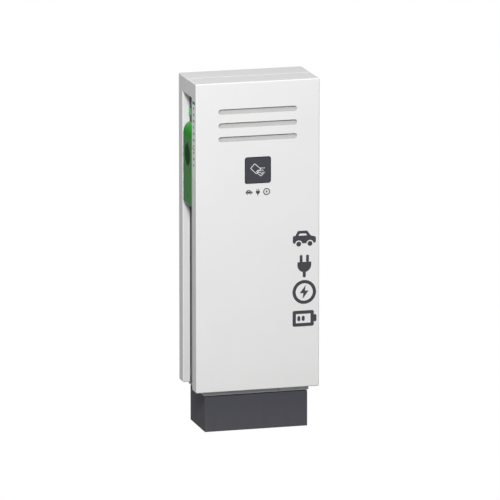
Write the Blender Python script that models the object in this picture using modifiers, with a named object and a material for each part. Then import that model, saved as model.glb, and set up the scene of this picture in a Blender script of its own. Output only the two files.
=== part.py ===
"""EV charging post: a white two-shell casing on a slate plinth, with a socket in each side recess.

The front shell is the cabinet's door. It turns on two concealed hinges at its right edge, and a
quarter-turn lock holds its left edge. Each socket has a sprung lid and a pin that locks the plug in.
Metres, +Z up, the front faces -Y, and the origin is on the ground under the middle of the casing.
"""

import math

import bmesh
import bpy
from mathutils import Matrix, Vector

# ---- overall sizes -------------------------------------------------------------------------------
CASE_W = 0.480
CASE_D = 0.248
CASE_BOTTOM = 0.157
TOTAL_H = 1.339
SHEET = 0.002
GAP = 0.0003
EDGE_RADIUS = 0.0035

SIDE_X = CASE_W / 2
FRONT_Y = -CASE_D / 2
BACK_Y = CASE_D / 2

# the two shells: the front one ends at the seam across the top, the rear one starts there
SEAM_GAP = 0.001
LINTEL_Z = 1.277
DOOR_FLANGE_Y = -0.063
REAR_FLANGE_Y = 0.068
WALL_X = 0.211
RETURN_X = 0.2125

# ---- plinth and base frame -----------------------------------------------------------------------
PLINTH_W = 0.401
PLINTH_Y = (-0.101, 0.109)
PLINTH_H = 0.137
PLINTH_SHEET = 0.004
FOOT_FLANGE_W = 0.045
ANCHOR_X = 0.175
ANCHOR_Y = (-0.078, 0.086)
ANCHOR_HOLE_R = 0.007
FRAME_W = 0.408
FRAME_Y = (-0.103, 0.120)
FRAME_NECK_H = 0.0035
FRAME_NECK_INSET = 0.010
FRAME_WALL = 0.030
FRAME_NOTCH_X = 0.088

# ---- front panel ---------------------------------------------------------------------------------
SLOT_Z = (1.1245, 1.1769, 1.2293)
SLOT_LENGTH = 0.304
SLOT_HEIGHT = 0.020
BAFFLE_HALF = 0.172
BAFFLE_Z = (1.098, 1.2497)
BAFFLE_ROOM = 0.0045
BAFFLE_SHEET = 0.0015
BADGE_SIZE = 0.101
BADGE_Z = 1.0013
BADGE_RADIUS = 0.010

# ---- cabinet -------------------------------------------------------------------------------------
CABINET_X = WALL_X - SHEET - GAP
CABINET_FRONT_Y = -0.066
CABINET_BACK_Y = BACK_Y - SHEET - GAP
FLOOR_Z = CASE_BOTTOM + SHEET + GAP
FLOOR_THICKNESS = 0.003
GLAND_Y = 0.020
WALL_TOP_Z = 1.275
RIM_Y = (-0.070, CABINET_FRONT_Y - GAP)
RIM_WIDTH = 0.022
GASKET_Y = (-0.0745, RIM_Y[0] - GAP)
STIFFENER_X = 0.196
STIFFENER_BAR = 0.014
STIFFENER_Z = (0.172, 1.264)
STIFFENER_Y = (FRONT_Y + SHEET + GAP, GASKET_Y[0] - GAP)

# ---- hinges and lock -----------------------------------------------------------------------------
HINGE_X = 0.2345
HINGE_Y = -0.0685
HINGE_Z = (0.330, 1.215)
HINGE_HALF = 0.020
KNUCKLE_R = 0.0032
KNUCKLE_HALF = 0.010
PIN_R = 0.0015
LOCK_X = -0.2295
LOCK_Z = 0.660
LOCK_R = 0.0055
CAM_Y = (-0.0855, -0.0825)
CAM_LENGTH = 0.0145

# ---- sockets -------------------------------------------------------------------------------------
SOCKET_Z = 1.048
HOUSING_Y = (-0.060, 0.062)
HOUSING_BOTTOM = 0.860
HOUSING_CORNER_Z = 1.120
HOUSING_TOP = 1.165
HOUSING_WALL = 0.003
HOUSING_BACK_X = WALL_X + GAP
LID_R = 0.0389
LID_HOLE_R = 0.0398
LID_FACE_X = 0.2394
LID_THICKNESS = 0.003
LID_AXIS_X = 0.2372
LID_AXIS_Z = SOCKET_Z + 0.0425
SOCKET_BORE_R = 0.030
SOCKET_OUTER_R = 0.034
SOCKET_FLANGE = 0.040
SOCKET_DEPTH_X = 0.1735
CARRIER_R = 0.0225
LOCK_PIN_X = 0.2225
LOCK_PIN_R = 0.003
LOCK_PIN_TRAVEL = 0.008
LIGHT_Y = (0.035, 0.060)
LIGHT_Z = (1.190, 1.218)
COVER_SCREW_Z = 0.8895

# ---- equipment on the mounting plate -------------------------------------------------------------
PLATE_X = 0.175
PLATE_Z = (0.205, 1.235)
PLATE_Y = (0.098, 0.100)
RAIL_Z = {"lower": 0.460, "middle": 0.760, "upper": 1.110}
RAIL_HALF = 0.165
RAIL_DEPTH = 0.0075
DEVICE_BACK_Y = PLATE_Y[0] - GAP - RAIL_DEPTH - GAP
DEVICE_DEPTH = 0.058
DEVICE_H = 0.090
KNOB_X = -0.105
BREAKER_X = {"left": -0.020, "right": 0.060}
LEVER_AXIS_Z = RAIL_Z["lower"]

# ---- colours (linear RGB), metallic, roughness ---------------------------------------------------
COLOURS = {
    "white_paint": ((0.80, 0.80, 0.81), 0.0, 0.35),
    "slate_paint": ((0.068, 0.070, 0.082), 0.0, 0.50),
    "grey_paint": ((0.160, 0.160, 0.165), 0.0, 0.45),
    "green_plastic": ((0.080, 0.185, 0.078), 0.0, 0.42),
    "dark_green_plastic": ((0.030, 0.062, 0.026), 0.0, 0.45),
    "green_lens": ((0.060, 0.420, 0.090), 0.0, 0.15),
    "black_plastic": ((0.018, 0.018, 0.019), 0.0, 0.50),
    "badge_plastic": ((0.070, 0.072, 0.080), 0.0, 0.30),
    "light_plastic": ((0.560, 0.570, 0.570), 0.0, 0.45),
    "orange_plastic": ((0.700, 0.200, 0.030), 0.0, 0.45),
    "red_plastic": ((0.450, 0.030, 0.025), 0.0, 0.40),
    "zinc_steel": ((0.560, 0.570, 0.580), 1.0, 0.38),
    "brass": ((0.700, 0.500, 0.210), 1.0, 0.30),
    "rubber": ((0.014, 0.014, 0.015), 0.0, 0.80),
}


# ---- scene and materials -------------------------------------------------------------------------
def clear_scene():
    for obj in list(bpy.data.objects):
        bpy.data.objects.remove(obj, do_unlink=True)


def new_collection(name):
    collection = bpy.data.collections.new(name)
    bpy.context.scene.collection.children.link(collection)
    return collection


def make_material(name):
    colour, metallic, roughness = COLOURS[name]
    material = bpy.data.materials.new(name)
    material.use_nodes = True
    shader = material.node_tree.nodes["Principled BSDF"]
    shader.inputs["Base Color"].default_value = (*colour, 1.0)
    shader.inputs["Metallic"].default_value = metallic
    shader.inputs["Roughness"].default_value = roughness
    return material


clear_scene()
PARTS = new_collection("ev_charging_post")
CUTTERS = new_collection("cutters")
MATERIALS = {name: make_material(name) for name in COLOURS}


# ---- modelling helpers ---------------------------------------------------------------------------
def move_to(obj, collection):
    for owner in list(obj.users_collection):
        owner.objects.unlink(obj)
    collection.objects.link(obj)


def finish(obj, name, material):
    """Name a piece, or make it a cutter where it has no material."""
    obj.name = name
    obj.data.name = name
    if material is None:
        move_to(obj, CUTTERS)
        obj.hide_render = True
        obj.display_type = "WIRE"
    else:
        move_to(obj, PARTS)
        obj.data.materials.clear()
        obj.data.materials.append(MATERIALS[material])
    return obj


def box(name, x, y, z, material=None, bevel=0.0, segments=2):
    """A box between two limits on each axis, with its edges rounded where bevel is given."""
    low = Vector((min(x), min(y), min(z)))
    high = Vector((max(x), max(y), max(z)))
    bpy.ops.mesh.primitive_cube_add(size=1.0, location=(low + high) / 2)
    obj = bpy.context.object
    obj.scale = high - low
    bpy.ops.object.transform_apply(location=False, rotation=False, scale=True)
    if bevel:
        rounding = obj.modifiers.new("rounding", "BEVEL")
        rounding.width = bevel
        rounding.segments = segments
        rounding.limit_method = "ANGLE"
    return finish(obj, name, material)


def align(obj, direction):
    """Turn an object so that its own Z axis points along direction."""
    obj.rotation_euler = Vector((0, 0, 1)).rotation_difference(Vector(direction)).to_euler()


def shade_round(obj):
    obj.data.shade_smooth()
    obj.data.set_sharp_from_angle(angle=math.radians(35))


def cylinder(name, start, direction, radius, length, material=None, sides=24):
    """A cylinder that begins at start and runs for length along direction."""
    direction = Vector(direction).normalized()
    centre = Vector(start) + direction * length / 2
    bpy.ops.mesh.primitive_cylinder_add(vertices=sides, radius=radius, depth=length, location=centre)
    obj = bpy.context.object
    align(obj, direction)
    shade_round(obj)
    return finish(obj, name, material)


def turned(name, profile, start, direction, material=None, sides=32):
    """A body of revolution about direction; profile is (radius, height) from its top to its bottom."""
    mesh = bpy.data.meshes.new(name)
    obj = bpy.data.objects.new(name, mesh)
    bpy.context.scene.collection.objects.link(obj)
    outline = bmesh.new()
    points = [outline.verts.new((radius, 0.0, height)) for radius, height in profile]
    for first, second in zip(points, points[1:]):
        outline.edges.new((first, second))
    outline.to_mesh(mesh)
    outline.free()
    spin = obj.modifiers.new("spin", "SCREW")
    spin.steps = sides
    spin.render_steps = sides
    spin.use_merge_vertices = True
    spin.merge_threshold = 0.00005
    spin.use_smooth_shade = True
    obj.location = start
    align(obj, direction)
    return finish(obj, name, material)


def prism(name, outline, axis, low, high, material=None):
    """A flat outline extruded along X or Y; its points are (y, z) for X and (x, z) for Y."""
    curve = bpy.data.curves.new(name, "CURVE")
    curve.dimensions = "2D"
    curve.fill_mode = "BOTH"
    curve.extrude = (high - low) / 2
    spline = curve.splines.new("POLY")
    spline.points.add(len(outline) - 1)
    for point, (across, up) in zip(spline.points, outline):
        point.co = (across, up, 0.0, 1.0)
    spline.use_cyclic_u = True
    shape = bpy.data.objects.new(name, curve)
    bpy.context.scene.collection.objects.link(shape)
    middle = (low + high) / 2
    if axis == "X":
        shape.matrix_world = Matrix(((0, 0, 1, middle), (1, 0, 0, 0), (0, 1, 0, 0), (0, 0, 0, 1)))
    else:
        shape.matrix_world = Matrix(((1, 0, 0, 0), (0, 0, -1, middle), (0, 1, 0, 0), (0, 0, 0, 1)))
    return finish(as_mesh(shape), name, material)


def as_mesh(curve_object):
    """A closed mesh object in place of a curve object."""
    bpy.context.view_layer.update()
    evaluated = curve_object.evaluated_get(bpy.context.evaluated_depsgraph_get())
    mesh = bpy.data.meshes.new_from_object(evaluated)
    closed = bmesh.new()
    closed.from_mesh(mesh)
    bmesh.ops.remove_doubles(closed, verts=closed.verts, dist=0.00001)
    bmesh.ops.recalc_face_normals(closed, faces=closed.faces)
    closed.to_mesh(mesh)
    closed.free()
    obj = bpy.data.objects.new(curve_object.name, mesh)
    obj.matrix_world = curve_object.matrix_world.copy()
    bpy.context.scene.collection.objects.link(obj)
    bpy.data.objects.remove(curve_object, do_unlink=True)
    return obj


def combine(obj, other, operation="DIFFERENCE"):
    boolean = obj.modifiers.new(f"{operation.lower()}_{other.name}", "BOOLEAN")
    boolean.operation = operation
    boolean.solver = "EXACT"
    boolean.object = other
    return obj


def cut(obj, *cutters):
    for cutter in cutters:
        combine(obj, cutter)
    return obj


def join(obj, *additions):
    for addition in additions:
        combine(obj, addition, "UNION")
    return obj


def ring(name, outer_x, inner_x, outer_z, inner_z, y, material):
    """A rectangular frame that lies in an upright plane."""
    frame = box(name, (-outer_x, outer_x), y, outer_z, material)
    opening = box(f"{name}_opening", (-inner_x, inner_x), (y[0] - 0.01, y[1] + 0.01), inner_z)
    return cut(frame, opening)


def arc(centre, radius, start_deg, end_deg, steps):
    """Points on an arc, as (across, up) pairs."""
    points = []
    for step in range(steps + 1):
        angle = math.radians(start_deg + (end_deg - start_deg) * step / steps)
        points.append((centre[0] + radius[0] * math.cos(angle), centre[1] + radius[1] * math.sin(angle)))
    return points


def rounded_outline(across, up, radius, steps=4):
    """A rectangle with round corners, as (across, up) points."""
    corner = (radius, radius)
    left, right = across[0] + radius, across[1] - radius
    low, high = up[0] + radius, up[1] - radius
    points = arc((right, high), corner, 0, 90, steps)
    points += arc((left, high), corner, 90, 180, steps)
    points += arc((left, low), corner, 180, 270, steps)
    points += arc((right, low), corner, 270, 360, steps)
    return points


SIDES = {"left": -1, "right": 1}


def outward(side, near, far):
    """X limits of something that runs from near to far, measured outwards on one side."""
    return tuple(sorted((SIDES[side] * near, SIDES[side] * far)))


# ---- plinth, base frame and casing ---------------------------------------------------------------
def make_plinth():
    half = PLINTH_W / 2
    front, back = PLINTH_Y
    plinth = box("plinth", (-half, half), PLINTH_Y, (0, PLINTH_H), "slate_paint", bevel=0.002)
    room = box("plinth_room", (-half + PLINTH_SHEET, half - PLINTH_SHEET),
               (front + PLINTH_SHEET, back - PLINTH_SHEET), (0.006, PLINTH_H + 0.01))
    passage = box("plinth_passage", (-half + FOOT_FLANGE_W, half - FOOT_FLANGE_W),
                  (front + FOOT_FLANGE_W, back - FOOT_FLANGE_W), (-0.01, 0.01))
    cut(plinth, room, passage)
    for index, x in enumerate((-ANCHOR_X, ANCHOR_X)):
        for row, y in enumerate(ANCHOR_Y):
            cut(plinth, cylinder(f"anchor_hole_{index}{row}", (x, y, -0.01), (0, 0, 1),
                                 ANCHOR_HOLE_R, 0.02, sides=16))


def make_base_frame():
    half = FRAME_W / 2
    front, back = FRAME_Y
    low = PLINTH_H + GAP
    top = CASE_BOTTOM - GAP
    shoulder = low + FRAME_NECK_H
    frame = box("base_frame", (-half, half), FRAME_Y, (low, top), "grey_paint")
    inset = FRAME_NECK_INSET
    neck_y = (PLINTH_Y[0] + inset, PLINTH_Y[1] - inset)
    neck_x = PLINTH_W / 2 - inset
    slab = box("frame_slab", (-1, 1), (-1, 1), (low - 0.01, shoulder))
    neck = box("frame_neck", (-neck_x, neck_x), neck_y, (low - 0.02, shoulder + 0.01))
    cut(frame, cut(slab, neck))
    room = box("frame_room", (-half + FRAME_WALL, half - FRAME_WALL),
               (front + FRAME_WALL, back - FRAME_WALL), (low - 0.01, top + 0.01))
    cut(frame, room)
    for index, x in enumerate((-FRAME_NOTCH_X, FRAME_NOTCH_X)):
        cut(frame, box(f"frame_notch_{index}", (x - 0.0015, x + 0.0015), (front - 0.01, front + 0.003),
                       (shoulder + 0.001, top + 0.01)))


def shell(name, facing, flange_y):
    """One half of the casing: a folded tray with a lintel over the side recesses.

    facing is -1 for the front half and 1 for the rear one. flange_y is where its side flanges end.
    """
    face_y = facing * CASE_D / 2
    seam_y = -SEAM_GAP if facing < 0 else 0.0
    beyond_y = seam_y - facing * 0.02
    shape = box(name, (-SIDE_X, SIDE_X), (face_y, seam_y), (CASE_BOTTOM, TOTAL_H), "white_paint",
                bevel=EDGE_RADIUS, segments=3)
    recess = box(f"{name}_recess", (-0.3, 0.3), (flange_y, beyond_y), (CASE_BOTTOM - 0.02, LINTEL_Z))
    inner_x = SIDE_X - SHEET
    inner_face = face_y - facing * SHEET
    tray = box(f"{name}_tray", (-inner_x, inner_x), (inner_face, flange_y + facing * SHEET),
               (CASE_BOTTOM + SHEET, TOTAL_H - SHEET))
    lintel = box(f"{name}_lintel", (-inner_x, inner_x), (inner_face, beyond_y),
                 (LINTEL_Z + SHEET, TOTAL_H - SHEET))
    mouth = box(f"{name}_mouth", (-RETURN_X, RETURN_X), (inner_face + 0.001 * facing * -1, beyond_y),
                (CASE_BOTTOM + SHEET, LINTEL_Z + 0.02))
    return cut(shape, recess, tray, lintel, mouth)


def make_rear_casing():
    shell("rear_casing", 1, REAR_FLANGE_Y)


def make_door_panel():
    door = shell("door_panel", -1, DOOR_FLANGE_Y)
    half = SLOT_HEIGHT / 2
    for index, z in enumerate(SLOT_Z):
        outline = rounded_outline((-SLOT_LENGTH / 2, SLOT_LENGTH / 2), (z - half, z + half), half * 0.999, 6)
        cut(door, prism(f"vent_slot_{index}", outline, "Y", FRONT_Y - 0.01, FRONT_Y + 0.01))
    edge = BADGE_SIZE / 2 + GAP
    window = rounded_outline((-edge, edge), (BADGE_Z - edge, BADGE_Z + edge), BADGE_RADIUS)
    cut(door, prism("badge_window", window, "Y", FRONT_Y - 0.01, FRONT_Y + 0.01))
    return_y = (DOOR_FLANGE_Y - 0.004, DOOR_FLANGE_Y + 0.004)
    for index, z in enumerate(HINGE_Z):
        reach = HINGE_HALF + 0.003
        cut(door, box(f"hinge_notch_{index}", (RETURN_X - 0.005, SIDE_X - SHEET - 0.0003), return_y,
                      (z - reach, z + reach)))
    cut(door, box("keeper_notch", (-RETURN_X + 0.005, -0.2222), return_y, (LOCK_Z - 0.018, LOCK_Z + 0.018)))
    cut(door, cylinder("lock_hole", (LOCK_X, DOOR_FLANGE_Y + 0.01, LOCK_Z), (0, -1, 0),
                       LOCK_R + GAP, 0.02, sides=20))


# ---- cabinet between the recesses ----------------------------------------------------------------
def make_side_wall(side):
    wall = box(f"side_wall_{side}", outward(side, WALL_X - SHEET, WALL_X),
               (CABINET_FRONT_Y, 0.095), (FLOOR_Z + GAP, WALL_TOP_Z), "slate_paint")
    half = SOCKET_OUTER_R + GAP
    cut(wall, box(f"socket_hole_{side}", outward(side, WALL_X - 0.02, WALL_X + 0.02), (-half, half),
                  (SOCKET_Z - half, SOCKET_Z + half)))


def make_floor():
    floor = box("cabinet_floor", (-CABINET_X, CABINET_X), (CABINET_FRONT_Y, CABINET_BACK_Y),
                (FLOOR_Z, FLOOR_Z + FLOOR_THICKNESS), "zinc_steel")
    cut(floor, cylinder("gland_hole", (0, GLAND_Y, FLOOR_Z - 0.01), (0, 0, 1), 0.0204, 0.03, sides=24))


def make_roof():
    box("cabinet_roof", (-CABINET_X, CABINET_X), (CABINET_FRONT_Y, 0.095),
        (WALL_TOP_Z - SHEET, WALL_TOP_Z), "zinc_steel")


def make_rim_and_gasket():
    low = FLOOR_Z + FLOOR_THICKNESS + GAP
    high = WALL_TOP_Z - SHEET - GAP
    ring("front_rim", WALL_X, WALL_X - RIM_WIDTH, (low, high), (low + RIM_WIDTH, high - RIM_WIDTH),
         RIM_Y, "zinc_steel")
    outer = STIFFENER_X
    inner = outer - 0.010
    ring("door_gasket", outer, inner, STIFFENER_Z, (STIFFENER_Z[0] + 0.010, STIFFENER_Z[1] - 0.010),
         GASKET_Y, "rubber")


def make_supply_gland():
    """A cable gland in the floor: a dome nut above, a collar on the floor and a thread below it."""
    seat = FLOOR_Z + FLOOR_THICKNESS + GAP
    profile = [(0.0125, 0.036), (0.0190, 0.032), (0.0200, 0.024), (0.0200, 0.016), (0.0260, 0.016),
               (0.0260, 0.0), (0.0200, 0.0), (0.0200, -0.020), (0.0125, -0.020), (0.0125, 0.036)]
    turned("supply_gland", profile, (0, GLAND_Y, seat), (0, 0, 1), "black_plastic", sides=24)


# ---- door fittings -------------------------------------------------------------------------------
def make_stiffener():
    inner = STIFFENER_X - STIFFENER_BAR
    ring("door_stiffener", STIFFENER_X, inner, STIFFENER_Z,
         (STIFFENER_Z[0] + STIFFENER_BAR, STIFFENER_Z[1] - STIFFENER_BAR), STIFFENER_Y, "zinc_steel")


def make_vent_baffle():
    """A shallow channel behind the slots: it stops a probe, and air passes above and below it."""
    front = FRONT_Y + SHEET + GAP
    back = front + BAFFLE_ROOM + BAFFLE_SHEET
    baffle = box("vent_baffle", (-BAFFLE_HALF, BAFFLE_HALF), (front, back), BAFFLE_Z, "light_plastic")
    inner = BAFFLE_HALF - 0.008
    cut(baffle, box("baffle_room", (-inner, inner), (front - 0.01, front + BAFFLE_ROOM),
                    (BAFFLE_Z[0] - 0.02, BAFFLE_Z[1] + 0.02)))


def make_reader_badge():
    edge = BADGE_SIZE / 2
    outline = rounded_outline((-edge, edge), (BADGE_Z - edge, BADGE_Z + edge), BADGE_RADIUS)
    prism("reader_badge", outline, "Y", FRONT_Y + 0.0003, FRONT_Y + 0.0032, "badge_plastic")


def make_card_reader():
    front = FRONT_Y + 0.0032 + GAP
    box("card_reader", (-0.058, 0.058), (front, front + 0.024), (BADGE_Z - 0.062, BADGE_Z + 0.062),
        "black_plastic", bevel=0.003)


def make_frame_leaf(index, z):
    """The hinge half on the cabinet: a plate on the side wall with an arm to the middle knuckle."""
    height = (z - HINGE_HALF, z + HINGE_HALF)
    leaf = box(f"hinge_frame_leaf_{index}", (WALL_X + GAP, WALL_X + GAP + SHEET), (-0.0725, -0.032), height,
               "zinc_steel")
    knuckle_z = (z - KNUCKLE_HALF, z + KNUCKLE_HALF)
    arm = box(f"frame_arm_{index}", (WALL_X + 0.001, HINGE_X), (-0.0724, -0.0704), knuckle_z)
    knuckle = cylinder(f"frame_knuckle_{index}", (HINGE_X, HINGE_Y, knuckle_z[0]), (0, 0, 1),
                       KNUCKLE_R, 2 * KNUCKLE_HALF, sides=20)
    hole = cylinder(f"frame_pin_hole_{index}", (HINGE_X, HINGE_Y, z - 0.03), (0, 0, 1),
                    PIN_R + GAP, 0.06, sides=16)
    cut(join(leaf, arm, knuckle), hole)


def make_door_leaf(index, z):
    """The hinge half on the door: a plate inside its flange with a knuckle above and one below."""
    inner_x = SIDE_X - SHEET - GAP
    leaf = box(f"hinge_door_leaf_{index}", (inner_x - 0.0015, inner_x), (-0.100, -0.0723),
               (z - HINGE_HALF, z + HINGE_HALF), "zinc_steel")
    length = HINGE_HALF - KNUCKLE_HALF - GAP
    for end, start in (("low", z - HINGE_HALF), ("high", z + KNUCKLE_HALF + GAP)):
        tab = box(f"door_tab_{end}_{index}", (inner_x - 0.0015, inner_x), (-0.0740, HINGE_Y),
                  (start, start + length))
        knuckle = cylinder(f"door_knuckle_{end}_{index}", (HINGE_X, HINGE_Y, start), (0, 0, 1),
                           KNUCKLE_R, length, sides=20)
        join(leaf, tab, knuckle)
    hole = cylinder(f"door_pin_hole_{index}", (HINGE_X, HINGE_Y, z - 0.03), (0, 0, 1),
                    PIN_R + GAP, 0.06, sides=16)
    cut(leaf, hole)


def make_hinge_pin(index, z):
    head = (PIN_R + 0.0012, 0.0015)
    low = -2 * HINGE_HALF - 0.0005
    profile = [(0.0, 0.002), (head[0], 0.002), (head[0], GAP), (PIN_R, GAP), (PIN_R, low), (0.0, low)]
    turned(f"hinge_pin_{index}", profile, (HINGE_X, HINGE_Y, z + HINGE_HALF), (0, 0, 1), "zinc_steel", sides=16)


def make_lock():
    """A quarter-turn lock in the left flange; a key turns it from inside the recess."""
    rear = DOOR_FLANGE_Y + 0.0032
    body = cylinder("lock_body", (LOCK_X, rear, LOCK_Z), (0, -1, 0), LOCK_R, rear - CAM_Y[1] - GAP, "zinc_steel",
                    sides=20)
    nut = cylinder("lock_nut", (LOCK_X, DOOR_FLANGE_Y - SHEET - GAP, LOCK_Z), (0, -1, 0), 0.0078, 0.004, sides=6)
    keyway = cylinder("lock_keyway", (LOCK_X, rear + 0.001, LOCK_Z), (0, -1, 0), 0.0036, 0.008, sides=3)
    cut(join(body, nut), keyway)


def make_lock_cam():
    """The cam stands upright when it is free, and turns inwards behind the keeper to lock."""
    cam = box("lock_cam", (LOCK_X - 0.0040, LOCK_X + 0.0040), CAM_Y, (LOCK_Z - 0.0045, LOCK_Z + CAM_LENGTH),
              "zinc_steel", bevel=0.0008)
    return cam


def make_keeper():
    low, high = LOCK_Z - 0.014, LOCK_Z + 0.014
    keeper = box("lock_keeper", (-WALL_X - GAP - SHEET, -WALL_X - GAP), (-0.0885, -0.036), (low, high), "zinc_steel")
    lip = box("keeper_lip", (-0.2205, -WALL_X - GAP - 0.0005), (-0.0885, -0.0865), (low, high))
    join(keeper, lip)


# ---- sockets -------------------------------------------------------------------------------------
def make_housing(side):
    """The green cover: straight face, quarter-round top, hollow behind, with a round opening."""
    sign = SIDES[side]
    top_radii = (SIDE_X - WALL_X, HOUSING_TOP - HOUSING_CORNER_Z)
    curve = arc((WALL_X, HOUSING_CORNER_Z), top_radii, 0, 90, 10)
    curve = [(max(x, HOUSING_BACK_X), z) for x, z in curve]
    outline = [(HOUSING_BACK_X, HOUSING_BOTTOM - 0.006), (SIDE_X, HOUSING_BOTTOM)] + curve
    housing = prism(f"housing_{side}", [(sign * x, z) for x, z in outline], "Y",
                    HOUSING_Y[0], HOUSING_Y[1], "green_plastic")
    wall = HOUSING_WALL
    inner = arc((WALL_X, HOUSING_CORNER_Z), (top_radii[0] - wall, top_radii[1] - wall), 0, 90, 10)
    inner_outline = [(WALL_X - 0.01, HOUSING_BOTTOM + wall), (SIDE_X - wall, HOUSING_BOTTOM + wall)] + inner
    inner_outline.append((WALL_X - 0.01, inner[-1][1]))
    hollow = prism(f"housing_hollow_{side}", [(sign * x, z) for x, z in inner_outline], "Y",
                   HOUSING_Y[0] + wall, HOUSING_Y[1] - wall)
    cut(housing, hollow)
    face = sign * (SIDE_X - 0.010)
    cut(housing, cylinder(f"lid_hole_{side}", (face, 0, SOCKET_Z), (sign, 0, 0), LID_HOLE_R, 0.02, sides=48))
    pocket = box(f"lid_pocket_{side}", outward(side, SIDE_X - 0.010, SIDE_X + 0.010), (-0.0125, 0.0125),
                 (SOCKET_Z + LID_HOLE_R - 0.004, LID_AXIS_Z + 0.0042))
    cut(housing, pocket)
    cut(housing, cylinder(f"cover_screw_hole_{side}", (face, 0, COVER_SCREW_Z), (sign, 0, 0), 0.0048, 0.02, sides=16))


def make_cover_screw(side):
    sign = SIDES[side]
    top = sign * (SIDE_X - 0.0006)
    length = SIDE_X - 0.0006 - HOUSING_BACK_X - GAP
    profile = [(0.0, -0.0025), (0.0022, -0.0025), (0.0022, 0.0), (0.0045, 0.0), (0.0045, -0.004),
               (0.0025, -0.006), (0.0025, -length), (0.0, -length)]
    turned(f"cover_screw_{side}", profile, (top, 0, COVER_SCREW_Z), (sign, 0, 0), "black_plastic", sides=16)


def make_lid(side):
    sign = SIDES[side]
    face = LID_FACE_X
    lid = cylinder(f"lid_{side}", (sign * (face - LID_THICKNESS), 0, SOCKET_Z), (sign, 0, 0), LID_R, LID_THICKNESS,
                   "dark_green_plastic", sides=48)
    ear = box(f"lid_ear_{side}", outward(side, LID_AXIS_X - 0.0008, LID_AXIS_X + 0.0010), (-0.010, 0.010),
              (SOCKET_Z + LID_R - 0.004, LID_AXIS_Z))
    barrel = cylinder(f"lid_barrel_{side}", (sign * LID_AXIS_X, -0.010, LID_AXIS_Z), (0, 1, 0), 0.0022, 0.020, sides=16)
    hole = cylinder(f"lid_pin_hole_{side}", (sign * LID_AXIS_X, -0.02, LID_AXIS_Z), (0, 1, 0), 0.0010 + GAP, 0.04,
                    sides=12)
    grip = cylinder(f"lid_grip_{side}", (sign * (face - 0.0008), 0, SOCKET_Z - 0.052), (sign, 0, 0), 0.018, 0.01,
                    sides=32)
    cut(join(lid, ear, barrel), hole, grip)


def make_lid_pin(side):
    """A straight pin across the pocket, held in the cover by its ends."""
    sign = SIDES[side]
    pin = cylinder(f"lid_pin_{side}", (sign * LID_AXIS_X, -0.0122, LID_AXIS_Z), (0, 1, 0), 0.0010, 0.0244,
                   "zinc_steel", sides=12)
    return pin


def make_socket(side):
    """The shroud of a Type 2 outlet, with a square flange on the side wall and a bezel behind the lid."""
    sign = SIDES[side]
    bezel = LID_FACE_X - LID_THICKNESS - 0.0006
    bezel_back = bezel - 0.0025
    base = SOCKET_DEPTH_X
    profile = [(SOCKET_BORE_R, bezel), (0.0385, bezel), (0.0385, bezel_back), (SOCKET_OUTER_R, bezel_back),
               (SOCKET_OUTER_R, base - 0.003), (0.0, base - 0.003), (0.0, base), (SOCKET_BORE_R, base),
               (SOCKET_BORE_R, bezel)]
    socket = turned(f"socket_{side}", profile, (0, 0, SOCKET_Z), (sign, 0, 0), "black_plastic", sides=48)
    flange = box(f"socket_flange_{side}", outward(side, WALL_X + GAP, WALL_X + GAP + 0.0025),
                 (-SOCKET_FLANGE, SOCKET_FLANGE), (SOCKET_Z - SOCKET_FLANGE, SOCKET_Z + SOCKET_FLANGE))
    flange_hole = cylinder(f"socket_flange_hole_{side}", (sign * (WALL_X - 0.01), 0, SOCKET_Z), (sign, 0, 0),
                           (SOCKET_BORE_R + SOCKET_OUTER_R) / 2, 0.03, sides=48)
    join(socket, cut(flange, flange_hole))
    pin_hole = cylinder(f"lock_pin_hole_{side}", (sign * LOCK_PIN_X, 0, SOCKET_Z + 0.020), (0, 0, 1),
                        LOCK_PIN_R + GAP, 0.030, sides=16)
    cut(socket, pin_hole)


def make_contact_block(side):
    """The round island of seven contacts: three in the middle row, two below and two small above."""
    sign = SIDES[side]
    base = SOCKET_DEPTH_X + GAP
    depth = 0.043
    block = cylinder(f"contact_block_{side}", (sign * base, 0, SOCKET_Z), (sign, 0, 0), CARRIER_R, depth,
                     "black_plastic", sides=32)
    contacts = [(-0.0105, 0.0, 0.0030), (0.0, 0.0, 0.0030), (0.0105, 0.0, 0.0030), (-0.0058, -0.0115, 0.0030),
                (0.0058, -0.0115, 0.0030), (-0.0065, 0.0105, 0.0018), (0.0065, 0.0105, 0.0018)]
    for index, (across, up, radius) in enumerate(contacts):
        mouth = (sign * (base + depth - 0.030), across, SOCKET_Z + up)
        cut(block, cylinder(f"contact_{side}_{index}", mouth, (sign, 0, 0), radius, 0.040, sides=12))


def make_lock_actuator(side):
    low = SOCKET_Z + SOCKET_OUTER_R + 0.0008
    body = box(f"lock_actuator_{side}", outward(side, WALL_X + GAP, 0.2320), (-0.016, 0.016),
               (low, low + 0.036), "black_plastic", bevel=0.001)
    cut(body, box(f"actuator_relief_{side}", outward(side, WALL_X - 0.01, WALL_X + 0.0035), (-0.03, 0.03),
                  (low - 0.01, SOCKET_Z + 0.0405)))
    cut(body, cylinder(f"actuator_bore_{side}", (SIDES[side] * LOCK_PIN_X, 0, low - 0.01), (0, 0, 1),
                       LOCK_PIN_R + GAP, 0.034, sides=16))


def make_lock_pin(side):
    start = SOCKET_Z + SOCKET_BORE_R + 0.0010
    cylinder(f"lock_pin_{side}", (SIDES[side] * LOCK_PIN_X, 0, start), (0, 0, 1), LOCK_PIN_R, 0.022,
             "zinc_steel", sides=16)


def make_status_light(side):
    box(f"status_light_{side}", outward(side, WALL_X + GAP, WALL_X + 0.0075), LIGHT_Y, LIGHT_Z, "green_lens",
        bevel=0.002)


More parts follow.
